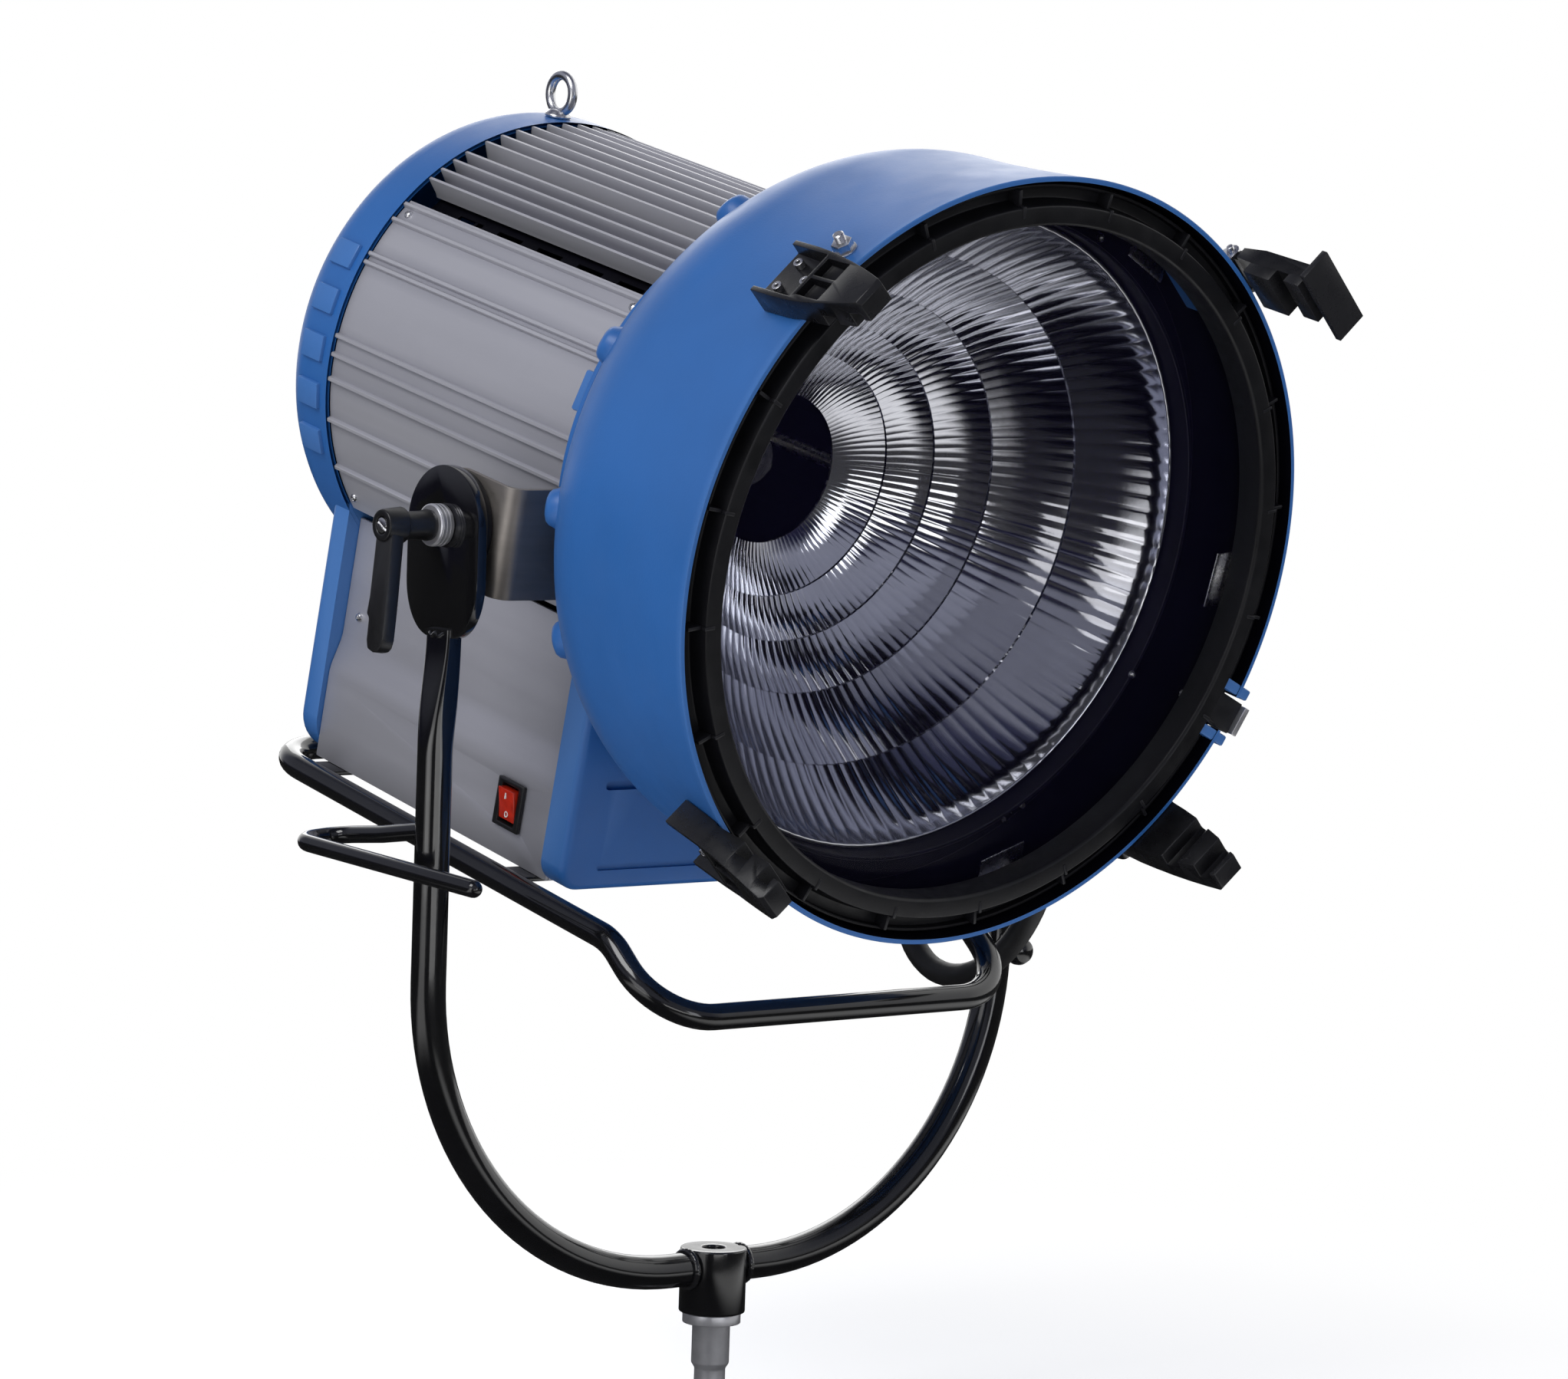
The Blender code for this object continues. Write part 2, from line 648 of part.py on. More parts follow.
def clamping_lever(start):
    """A stem, a round hub and a tapered arm hanging from it, all on the left pivot bolt."""
    stem_end = -(start + LEVER_STEM_LENGTH)
    hub_end = stem_end - LEVER_HUB_LENGTH
    made = add_object("tilt_lock_lever", rod(0.0105, (-start, 0, 0), (stem_end - 0.002, 0, 0), 20, 0.0095), BLACK,
                      yoke_frame)
    join(made, rod(LEVER_HUB_RADIUS, (stem_end, 0, 0), (hub_end, 0, 0), 24, LEVER_HUB_RADIUS - 0.002))
    outline = [(0.0095, 0.004), (-0.0095, 0.004), (-0.0125, -0.050), (-0.0130, -LEVER_LENGTH + 0.012),
               (-0.0085, -LEVER_LENGTH + 0.002), (0.0, -LEVER_LENGTH), (0.0060, -LEVER_LENGTH + 0.006),
               (0.0075, -0.050)]
    arm = slab("lever_arm", [outline], -0.0055, 0.0055, "yz")
    lean = math.atan2(0.010, LEVER_LENGTH)
    arm.transform(Matrix.Translation(((stem_end + hub_end) / 2, 0, 0)) @ Matrix.Rotation(lean, 4, "Y"))
    join(made, arm)
    cut(made, rod(PIVOT_BOLT_RADIUS + GAP, (-start + 0.01, 0, 0), (stem_end + 0.002, 0, 0)))


def bracket(name, side):
    """A steel strap cut from flat plate and bent: a ring sector on the front casting, then back to the pivot."""
    wall, bend = BRACKET_THICKNESS, BRACKET_BEND_RADIUS
    front = CASTING_FRONT + GAP + wall
    neutral = bend - wall / 2
    bend_start = BRACKET_OUTER_X - bend
    bend_end = bend_start + neutral * math.pi / 2
    pivot = bend_end + front - bend
    level = -AXIS_ABOVE_PIVOT
    low, high = level - BRACKET_HALF_HEIGHT, level + BRACKET_HALF_HEIGHT
    outline = []
    fillets = []
    for edge, sign in ((high, 1), (low, -1)):
        y = edge + sign * BRACKET_FILLET
        x = math.sqrt((BRACKET_RING_RADIUS + BRACKET_FILLET) ** 2 - y * y)
        back = math.degrees(math.atan2(-y, -x)) % 360
        fillets.append((x, y, math.degrees(math.atan2(x, y)), back))
    (x1, y1, angle1, back1), (x2, y2, angle2, back2) = fillets
    outline += [polar(BRACKET_RING_RADIUS, 40 + (angle1 - 40) * i / 6) for i in range(6)]
    outline += arc((x1, y1), BRACKET_FILLET, back1, 270, 6)
    outline += arc((pivot, level), BRACKET_HALF_HEIGHT, 90, -90, 16)
    outline += arc((x2, y2), BRACKET_FILLET, 90, back2, 6)
    outline += [polar(BRACKET_RING_RADIUS, 131), polar(BRACKET_RING_INNER, 131)]
    outline += [polar(BRACKET_RING_INNER, 131 - 91 * i / 12) for i in range(1, 13)]
    hole = arc((pivot, level), PIVOT_BOLT_RADIUS + GAP, 0, 345, 23)
    mesh = slab(name, [outline, hole], -wall / 2, wall / 2)
    work = bmesh.new()
    work.from_mesh(mesh)
    for step in range(7):
        cut_at = bend_start + (bend_end - bend_start) * step / 6
        bmesh.ops.bisect_plane(work, geom=work.verts[:] + work.edges[:] + work.faces[:], plane_co=(cut_at, 0, 0),
                               plane_no=(1, 0, 0), dist=1e-7)
    for vertex in work.verts:
        along, height, depth = vertex.co
        turn = min(max(along - bend_start, 0), bend_end - bend_start) / neutral
        x = min(along, bend_start) + (neutral + depth) * math.sin(turn)
        forward = front - bend + (neutral + depth) * math.cos(turn) - max(along - bend_end, 0)
        vertex.co = (side * x, height, forward)
    if side < 0:
        bmesh.ops.reverse_faces(work, faces=work.faces)
    work.to_mesh(mesh)
    work.free()
    add_object(name, mesh, STEEL, optical_axis)


for side_name, side_sign in SIDES.items():
    lever_start = pivot_side(side_name, side_sign)
    bracket(f"bracket_{side_name}", side_sign)
clamping_lever(lever_start)


# The round body: panels and fins between the front casting and the rear cover

def panel_section(start, end, outer, wall, ridges, ridge_height, ridge_width, step=6.0):
    """The section of a curved panel from start to end degrees, with square ridges on its outside."""
    half = math.degrees(ridge_width / 2 / outer)
    angles = [start + (end - start) * i / max(1, round((end - start) / step))
              for i in range(max(1, round((end - start) / step)) + 1)]
    plain = [angle for angle in angles if all(abs(angle - ridge) > 2 * half for ridge in ridges)]
    stations = [(angle, outer) for angle in plain]
    for ridge in ridges:
        stations += [(ridge - half, outer), (ridge - half * 0.9, outer + ridge_height),
                     (ridge + half * 0.9, outer + ridge_height), (ridge + half, outer)]
    stations.sort()
    inside = [(angle, outer - wall) for angle in angles]
    return [polar(radius, angle) for angle, radius in stations + inside[::-1]]


def mirrored(points, side):
    return [(side * x, y) for x, y in points]


def body_panels(side_name, side):
    outer = DRUM_RADIUS - RIDGE_HEIGHT
    section = panel_section(SIDE_PANEL_TOP, SIDE_PANEL_BOTTOM, outer, DRUM_WALL, SIDE_RIDGES, RIDGE_HEIGHT,
                            RIDGE_WIDTH)
    mesh = slab("side_panel", [mirrored(section, side)], DRUM_BACK, DRUM_FRONT)
    add_object(f"side_panel_{side_name}", mesh, ALUMINIUM, optical_axis)
    outer = FIN_ROOT_RADIUS + FIN_WALL
    section = panel_section(SIDE_FINS[0] - 1.0, SIDE_FINS[-1] + 1.0, outer, FIN_WALL, SIDE_FINS,
                            DRUM_RADIUS - outer, FIN_THICKNESS, 4.0)
    mesh = slab("fin_panel", [mirrored(section, side)], DRUM_BACK, DRUM_FRONT)
    add_object(f"fin_panel_{side_name}", mesh, ALUMINIUM, optical_axis)


def top_fins():
    outer = FIN_ROOT_RADIUS + FIN_WALL
    fins = [(i - (TOP_FIN_COUNT - 1) / 2) * TOP_FIN_PITCH for i in range(TOP_FIN_COUNT)]
    section = panel_section(fins[0] - 1.0, fins[-1] + 1.0, outer, FIN_WALL, fins, DRUM_RADIUS - outer,
                            FIN_THICKNESS, TOP_FIN_PITCH)
    add_object("top_fin_panel", slab("top_fins", [section], DRUM_BACK, DRUM_FRONT), ALUMINIUM, optical_axis)


def vent_baffle():
    """A perforated inner tube, seen in the gaps beside the side fins, with a bulkhead across it."""
    inner = BAFFLE_RADIUS - BAFFLE_WALL
    made = turned("vent_baffle", [(BAFFLE_RADIUS, DRUM_FRONT), (BAFFLE_RADIUS, DRUM_BACK),
                                  (inner, DRUM_BACK), (inner, DRUM_FRONT)], DARK, optical_axis, steps=40)
    pitch = DRUM_LENGTH / (BAFFLE_SLOTS + 1)
    half_long, half_wide = BAFFLE_SLOT_LENGTH / 2, BAFFLE_SLOT_WIDTH / 2
    slots = []
    for angle in (-44.5, -27.3, 27.3, 44.5):
        for index in range(BAFFLE_SLOTS):
            along = DRUM_FRONT - pitch * (index + 1)
            slot = block((-half_wide, inner - 0.004, along - half_long),
                         (half_wide, BAFFLE_RADIUS + 0.004, along + half_long))
            slots.append(moved(slot, turn=-math.radians(angle)))
    cut(made, several(slots))
    join(made, rod(BAFFLE_RADIUS - BAFFLE_WALL / 3, (0, 0, BULKHEAD_FRONT - BULKHEAD_WALL), (0, 0, BULKHEAD_FRONT),
                   48))
    cut(made, rod(SPINDLE_RADIUS + GAP, (0, -SPINDLE_DROP, BULKHEAD_FRONT - 0.02),
                  (0, -SPINDLE_DROP, BULKHEAD_FRONT + 0.02), 16))


def box_panel(side_name, side):
    """The control box's side, with a sloped step between its upper and lower flats."""
    wide, narrow, wall = BOX_HALF_WIDTH, BOX_HALF_WIDTH - BOX_STEP, BOX_WALL
    outside = [(narrow, BOX_TOP), (narrow, BOX_STEP_TOP), (wide, BOX_STEP_BOTTOM), (wide, BOX_BOTTOM)]
    inside = [(wide - wall, BOX_BOTTOM), (wide - wall, BOX_STEP_BOTTOM + 0.001),
              (narrow - wall, BOX_STEP_TOP + 0.001), (narrow - wall, BOX_TOP)]
    made = add_object(f"box_panel_{side_name}",
                      slab("box_panel", [mirrored(outside + inside, side)], DRUM_BACK, DRUM_FRONT), ALUMINIUM,
                      optical_axis)
    if side < 0:
        half_high, half_long = SWITCH_HEIGHT / 2 - 0.002, SWITCH_LENGTH / 2 - 0.002
        cut(made, block((-wide - 0.01, SWITCH_LEVEL - half_high, SWITCH_FORWARD - half_long),
                        (-wide + 0.01, SWITCH_LEVEL + half_high, SWITCH_FORWARD + half_long)))
    return made


def box_floor():
    inside = BOX_HALF_WIDTH - BOX_WALL - GAP
    add_object("box_floor", block((-inside, BOX_BOTTOM, DRUM_BACK), (inside, BOX_BOTTOM + BOX_WALL, DRUM_FRONT)),
               ALUMINIUM, optical_axis)


def box_outline(half, bottom, corner, top=-0.10):
    """A box below the drum with rounded lower corners."""
    points = [(half, top)]
    points += arc((half - corner, bottom + corner), corner, 0, -90, 5)
    points += arc((-half + corner, bottom + corner), corner, -90, -180, 5)
    return points + [(-half, top)]


def rounded_box(half, bottom, corner, open_end, round_end, width, top=-0.10):
    """A box with rounded lower corners, lofted from its open end to an end whose edges are rounded."""
    sign = 1 if round_end > open_end else -1
    stations = [(open_end, 0.0)]
    for step in range(4):
        turn = math.pi / 2 * step / 3
        stations.append((round_end - sign * width * (1 - math.sin(turn)), width * (1 - math.cos(turn))))
    work = bmesh.new()
    rings = []
    for forward, inset in stations:
        outline = box_outline(half - inset, bottom + inset, corner - inset, top)
        rings.append([work.verts.new((x, y, forward)) for x, y in outline])
    for first, second in zip(rings, rings[1:]):
        for index in range(len(first)):
            following = (index + 1) % len(first)
            work.faces.new((first[index], first[following], second[following], second[index]))
    work.faces.new(rings[0])
    work.faces.new(rings[-1])
    bmesh.ops.recalc_face_normals(work, faces=work.faces)
    mesh = bpy.data.meshes.new("rounded_box")
    work.to_mesh(mesh)
    work.free()
    return mesh


def front_casting():
    """The ring and the box front in one casting, hollow behind, with a web that carries the lamp house."""
    radius, wall = CASTING_RADIUS, CASTING_WALL
    back = DRUM_FRONT + GAP
    baffle_seat = BAFFLE_RADIUS - BAFFLE_WALL - 3 * GAP
    made = add_object("front_casting", rounded_box(CASTING_BOX_HALF, BOX_BOTTOM, CASTING_CORNER, back + GAP,
                                                   CASTING_BOX_FRONT, 0.006), BLUE, optical_axis)
    inner = box_outline(CASTING_BOX_HALF - wall, BOX_BOTTOM + wall, CASTING_CORNER - wall, -0.11)
    cut(made, slab("casting_cavity", [inner], back - 0.01, CASTING_BOX_FRONT - CASTING_BOX_FACE))
    cut(made, rod(radius + 3 * GAP, (0, 0, CASTING_FRONT - 0.001), (0, 0, CASTING_BOX_FRONT + 0.01), 56))
    profile = [(0, CASTING_FRONT), (CASTING_FLANGE, CASTING_FRONT), (CASTING_FLANGE, CASTING_FRONT - 0.005),
               (radius, CASTING_FRONT - 0.012), (radius, back), (baffle_seat, back), (baffle_seat, WEB_BACK),
               (0, WEB_BACK)]
    join(made, as_mesh(turned("casting_ring", profile, None, optical_axis, steps=56, closed=False)))
    cut(made, rod(BELL_NECK_RADIUS, (0, 0, WEB_BACK + wall), (0, 0, CASTING_BOX_FRONT + 0.02), 48))
    cut(made, rod(WEB_HOLE_RADIUS, (0, 0, WEB_BACK - 0.01), (0, 0, WEB_BACK + 0.01), 32))
    for side in (-1, 1):
        pad = block((-0.015, radius - 0.004, back + 0.001), (0.015, radius + 0.007, CASTING_FRONT - 0.001))
        join(made, moved(pad, turn=math.radians(side * 73)))
    cut(made, block((-0.121, -0.232, CASTING_BOX_FRONT - 0.002), (-0.060, -0.225, CASTING_BOX_FRONT + 0.01)))


def rear_cover():
    """A domed shell with a box below, open to the front, with louvres on its sides and slots in its back."""
    radius, wall = COVER_RADIUS, COVER_WALL
    front = DRUM_BACK - GAP

    def dome(inset, open_end):
        flat = front - COVER_STRAIGHT
        shell_radius = radius - inset
        profile = [(0, front + open_end), (shell_radius, front + open_end), (shell_radius, flat)]
        for step in range(1, 4):
            turn = math.pi / 2 * step / 4
            profile.append(((shell_radius - 0.07) + 0.07 * math.cos(turn),
                            flat - (COVER_DOME - inset) * math.sin(turn)))
        profile += [(shell_radius - 0.07, flat - COVER_DOME + inset), (0, flat - COVER_DOME + inset)]
        return turned("cover_dome", profile, None, optical_axis, steps=40, closed=False)

    def box(inset, open_end):
        return rounded_box(COVER_BOX_HALF - inset, BOX_BOTTOM + inset, 0.030 - inset, front + open_end,
                           front - COVER_BOX_DEPTH + inset, 0.010 - inset)

    outside = add_object("rear_cover", as_mesh(dome(0.0, 0.0)), BLUE, optical_axis)
    join(outside, box(0.0, -GAP))
    louvres = []
    for side in (-1, 1):
        for index in range(COVER_LOUVRES):
            angle = 66 + 11 * index
            rib = block((-0.010, radius - 0.008, front - 0.034), (0.010, radius + 0.003, front - 0.008))
            louvres.append(moved(rib, turn=-side * math.radians(angle)))
    join(outside, several(louvres))
    cut(outside, as_mesh(dome(wall, 0.01)))
    cut(outside, box(wall, 0.01))
    slots = []
    for index in (0, 2, 3, 4, 5, 6):
        level = -0.075 + 0.025 * index
        slots.append(block((-0.075, level - 0.003, front - COVER_STRAIGHT - COVER_DOME - 0.01),
                           (0.075, level + 0.003, front - COVER_STRAIGHT - 0.02)))
    cut(outside, several(slots))
    spindle_level = -SPINDLE_DROP
    cut(outside, rod(SPINDLE_RADIUS + 2 * GAP, (0, spindle_level, front - 0.2),
                     (0, spindle_level, front - 0.05), 16))


def eye_bolt():
    """An eye on a coned foot, on top of the rear cover."""
    seat = COVER_RADIUS + GAP
    along = DRUM_BACK - GAP - 0.018
    middle = seat + 0.004 + EYE_RADIUS
    loop = []
    for step in range(20):
        turn = 2 * math.pi * step / 20
        loop.append((0, middle + EYE_RADIUS * math.cos(turn), along + EYE_RADIUS * math.sin(turn)))
    made = add_object("eye_bolt", tube_mesh("eye", loop, EYE_ROD_RADIUS, cyclic=True, sides=8), CHROME, optical_axis)
    join(made, rod(0.010, (0, seat, along), (0, seat + 0.006, along), 20, 0.006))


for side_name, side_sign in SIDES.items():
    body_panels(side_name, side_sign)
    box_panel(side_name, side_sign)
top_fins()
vent_baffle()
box_floor()
front_casting()
rear_cover()
eye_bolt()


# The bell and what it carries

def bell_radius(forward):
    """The bell's outer radius between its shoulder and its rim."""
    part = (forward - BELL_SIDE_BACK) / (BELL_RIM_FRONT - BELL_SIDE_BACK)
    return BELL_SIDE_RADIUS + (BELL_RIM_RADIUS - BELL_SIDE_RADIUS) * part ** BELL_FLARE


def bell_wall_radius(forward):
    """The same on the modelled side, which is straight between its stations."""
    middle = (BELL_RIM_FRONT + BELL_SIDE_BACK) / 2
    low, high = (BELL_SIDE_BACK, middle) if forward < middle else (middle, BELL_RIM_FRONT)
    part = (forward - low) / (high - low)
    return bell_radius(low) + (bell_radius(high) - bell_radius(low)) * part


def bell_side(inset):
    """Points from the rim down the side and the rounded back to the neck, moved in by inset."""
    points = []
    for step in range(3):
        forward = BELL_RIM_FRONT + (BELL_SIDE_BACK - BELL_RIM_FRONT) * step / 2
        points.append((bell_radius(forward) - inset, forward))
    across = BELL_SIDE_RADIUS - BELL_DOME_CENTRE - inset
    deep = BELL_SIDE_BACK - BELL_BACK - inset
    for step in range(1, 6):
        turn = math.pi / 2 * step / 5
        points.append((BELL_DOME_CENTRE + across * math.cos(turn), BELL_SIDE_BACK - deep * math.sin(turn)))
    return points


def bell_lug():
    """A round boss that stands square on the bell's rounded back."""
    across = BELL_SIDE_RADIUS - BELL_DOME_CENTRE
    deep = BELL_SIDE_BACK - BELL_BACK
    out = (BELL_LUG_PLACE - BELL_DOME_CENTRE) / across
    down = math.sqrt(1 - out * out)
    normal = Vector((0, out / across, -down / deep)).normalized()
    seat = Vector((0, BELL_LUG_PLACE, BELL_SIDE_BACK - down * deep))
    return rod(BELL_LUG_RADIUS, seat - normal * 0.008, seat + normal * BELL_LUG_HEIGHT, 10, BELL_LUG_RADIUS * 0.8)


def bell():
    foot = CASTING_FRONT + GAP
    profile = [(0, BELL_RIM_FRONT)] + bell_side(0.0)[:-1]
    profile += [(BELL_FOOT_RADIUS, BELL_BACK + 0.0006), (BELL_FOOT_RADIUS, foot), (0, foot)]
    made = turned("bell", profile, BLUE, optical_axis, steps=BELL_STEPS, closed=False)
    for side, angles in BELL_LUGS.items():
        for angle in angles:
            join(made, moved(bell_lug(), turn=-side * math.radians(angle)))
    low, high = BELL_RIM_RADIUS - 0.020, BELL_RIM_RADIUS + 0.0085
    ears = [block((-0.0225, low, 0.258), (-0.0145, high, BELL_RIM_FRONT - 0.0005)),
            block((0.0145, low, 0.258), (0.0225, high, BELL_RIM_FRONT - 0.0005))]
    for side_ear in ears:
        join(made, moved(side_ear, turn=-math.radians(LATCH_ANGLE)))
    pad = block((-0.021, low, 0.222), (0.021, BELL_RIM_RADIUS + 0.0002, 0.268))
    join(made, moved(pad, turn=-math.radians(SAFETY_CLAW_ANGLE)))
    inner = bell_side(BELL_WALL)
    inside = turned("bell_inside", [(0, BELL_RIM_FRONT + 0.02), (inner[0][0], BELL_RIM_FRONT + 0.02)] + inner
                    + [(0, inner[-1][1])], None, optical_axis, steps=BELL_STEPS, closed=False)
    cut(made, as_mesh(inside))
    cut(made, rod(BELL_NECK_RADIUS, (0, 0, foot - 0.02), (0, 0, BELL_BACK + 0.02), 48))
    notch = block((-0.0135, BELL_RIM_RADIUS - 0.025, RING_BACK - 0.001),
                  (0.0135, BELL_RIM_RADIUS + 0.025, BELL_RIM_FRONT + 0.01))
    cut(made, moved(notch, turn=-math.radians(LATCH_ANGLE)))


def paraboloid(radius, tier):
    """The place of the reflector's surface at a radius, each tier set forward a step from the one inside it."""
    rise = REFLECTOR_DEPTH - REFLECTOR_STEP * (len(REFLECTOR_TIERS) - 2)
    part = (radius ** 2 - REFLECTOR_TIERS[0] ** 2) / (REFLECTOR_TIERS[-1] ** 2 - REFLECTOR_TIERS[0] ** 2)
    return REFLECTOR_BACK + rise * part + REFLECTOR_STEP * tier


def reflector():
    """Five fluted tiers between the hole and the rim flange. The flutes are a loft of odd and even meridians."""
    inside = []
    back = []
    last = len(REFLECTOR_TIERS) - 2
    for tier in range(last + 1):
        low, high = REFLECTOR_TIERS[tier], REFLECTOR_TIERS[tier + 1]
        for part in ((0.0, 0.5, 1.0) if tier == last else (0.0, 1.0)):
            radius = low + (high - low) * part
            flute = 0.35 if part == 1.0 and tier == last else 1.0
            inside.append((radius, paraboloid(radius, tier), flute if radius > REFLECTOR_TIERS[0] else 0.0))
        back.append((low + REFLECTOR_WALL, paraboloid(low, max(tier - 1, 0)) - REFLECTOR_WALL, 0.0))
    rim_radius, rim_forward, _ = inside[-1]
    flange = rim_radius + REFLECTOR_FLANGE
    under = rim_forward - REFLECTOR_WALL
    profile = inside + [(flange, rim_forward, 0.0), (flange, under, 0.0), (rim_radius + REFLECTOR_WALL, under, 0.0)]
    profile += back[:0:-1] + [(REFLECTOR_TIERS[0], REFLECTOR_BACK - REFLECTOR_WALL, 0.0)]
    meridians = 2 * REFLECTOR_FLUTES
    work = bmesh.new()
    rings = []
    for index in range(meridians):
        turn = 2 * math.pi * index / meridians
        ring = []
        for radius, forward, flute in profile:
            depth = REFLECTOR_FLUTE_DEPTH * flute * (index % 2)
            ring.append(work.verts.new(((radius - depth) * math.cos(turn), (radius - depth) * math.sin(turn),
                                        forward + depth * 0.6)))
        rings.append(ring)
    count = len(profile)
    for index, ring in enumerate(rings):
        following = rings[(index + 1) % meridians]
        for step in range(count):
            work.faces.new((ring[step], following[step], following[(step + 1) % count], ring[(step + 1) % count]))
    bmesh.ops.recalc_face_normals(work, faces=work.faces)
    mesh = bpy.data.meshes.new("reflector")
    work.to_mesh(mesh)
    work.free()
    add_object("reflector", mesh, MIRROR, optical_axis)
    return rim_forward


def reflector_ring(rim_forward):
    """The black ring that carries the reflector's flange inside the bell."""
    inner, wall = HOLDER_RADIUS, HOLDER_WALL
    seats = [bell_wall_radius(forward) - BELL_WALL - GAP for forward in (HOLDER_BACK, HOLDER_BACK + wall)]
    ledge_top = rim_forward - REFLECTOR_WALL - GAP
    ledge = REFLECTOR_TIERS[-1] + REFLECTOR_WALL + 0.0008
    profile = [(inner + wall, HOLDER_FRONT), (inner + wall, HOLDER_BACK + wall), (seats[1], HOLDER_BACK + wall),
               (seats[0], HOLDER_BACK), (ledge, HOLDER_BACK), (ledge, ledge_top), (inner, ledge_top),
               (inner, HOLDER_FRONT)]
    turned("reflector_ring", profile, DARK, optical_axis, steps=BELL_STEPS)


def front_ring():
    """The glass ring: a raised inner lip, a ribbed groove outside it and the latch's tab."""
    profile = [(RING_OUTER_RADIUS, RING_FRONT - 0.010), (RING_OUTER_RADIUS, RING_BACK),
               (RING_INNER_RADIUS, RING_BACK), (RING_INNER_RADIUS, RING_FRONT - 0.002),
               (RING_INNER_RADIUS + 0.002, RING_FRONT), (RING_LIP_RADIUS, RING_FRONT),
               (RING_LIP_RADIUS + 0.002, RING_GROOVE_FRONT),
               (RING_OUTER_RADIUS - 0.0025, RING_GROOVE_FRONT), (RING_OUTER_RADIUS - 0.0025, RING_FRONT - 0.010)]
    made = turned("front_ring", profile, DARK, optical_axis, steps=BELL_STEPS)
    rib_angles = [360 / RING_RIBS * (i + 0.5) for i in range(RING_RIBS)]

    def rib():
        return block((-0.0011, RING_LIP_RADIUS + 0.0005, RING_GROOVE_FRONT - 0.003),
                     (0.0011, RING_OUTER_RADIUS - 0.0012, RING_FRONT - 0.0065))

    join(made, around(rib, rib_angles))
    tab = block((-0.0120, RING_OUTER_RADIUS - 0.006, RING_BACK + 0.001),
                (0.0120, RING_TAB_RADIUS, RING_FRONT - 0.008))
    join(made, moved(tab, turn=-math.radians(LATCH_ANGLE)))


def front_glass():
    back = RING_BACK - GAP - GLASS_THICKNESS
    mesh = rod(GLASS_RADIUS, (0, 0, back), (0, 0, RING_BACK - GAP), 64)
    add_object("front_glass", mesh, GLASS, optical_axis)


def glass_clip(name, angle):
    """A bent leaf spring that presses the glass against the ring."""
    back = RING_BACK - GAP - GLASS_THICKNESS - GAP
    outer = RING_OUTER_RADIUS - 0.006
    leaf = [(outer, RING_BACK - GAP), (outer, back - 0.010), (outer - 0.020, back - 0.003), (outer - 0.028, back),
            (outer - 0.028, back - 0.0012), (outer - 0.020, back - 0.0045), (outer + 0.0012, back - 0.012),
            (outer + 0.0012, RING_BACK - GAP)]
    mesh = slab(name, [[(f, r) for r, f in leaf]], -0.020, 0.020, "zy")
    add_object(name, moved(mesh, turn=-math.radians(angle)), CHROME, optical_axis)


def door_latch():
    """The bright clip that lies over the ring's tab."""
    rest = RING_TAB_RADIUS + GAP
    half = LATCH_HALF_WIDTH
    mesh = block((-half, rest, RING_BACK - 0.004), (half, rest + 0.002, RING_FRONT - 0.004))
    made = add_object("door_latch", moved(mesh, turn=-math.radians(LATCH_ANGLE)), CHROME, optical_axis)
    lip = block((-half, rest, RING_FRONT - 0.006), (half, rest + 0.005, RING_FRONT - 0.004))
    join(made, moved(lip, turn=-math.radians(LATCH_ANGLE)))


bell()
reflector_ring(reflector())
front_ring()
front_glass()
for clip_index, clip_angle in enumerate(CLIP_ANGLES):
    glass_clip(f"glass_clip_{clip_index + 1}", clip_angle)
door_latch()


# The claws, each modelled at the top of the bell and then turned to its place

def bell_cone(clearance):
    """What a piece on the bell's side clears."""
    return rod(bell_radius(0.20) + clearance, (0, 0, 0.20), (0, 0, BELL_RIM_FRONT + clearance), 72,
               BELL_RIM_RADIUS + clearance)


def claw_teeth(front):
    """The side view of a claw's slots and fingers, from behind its lip back to its first block."""
    return [(front, CLAW_FRONT_SLOT_RADIUS), (CLAW_FRONT - 0.015, CLAW_FRONT_SLOT_RADIUS),
            (CLAW_FRONT - 0.015, CLAW_TOOTH_RADIUS), (CLAW_FRONT - 0.030, CLAW_TOOTH_RADIUS),
            (CLAW_FRONT - 0.030, CLAW_SLOT_RADIUS), (CLAW_FRONT - 0.042, CLAW_SLOT_RADIUS),
            (CLAW_FRONT - 0.042, CLAW_INNER_RADIUS)]


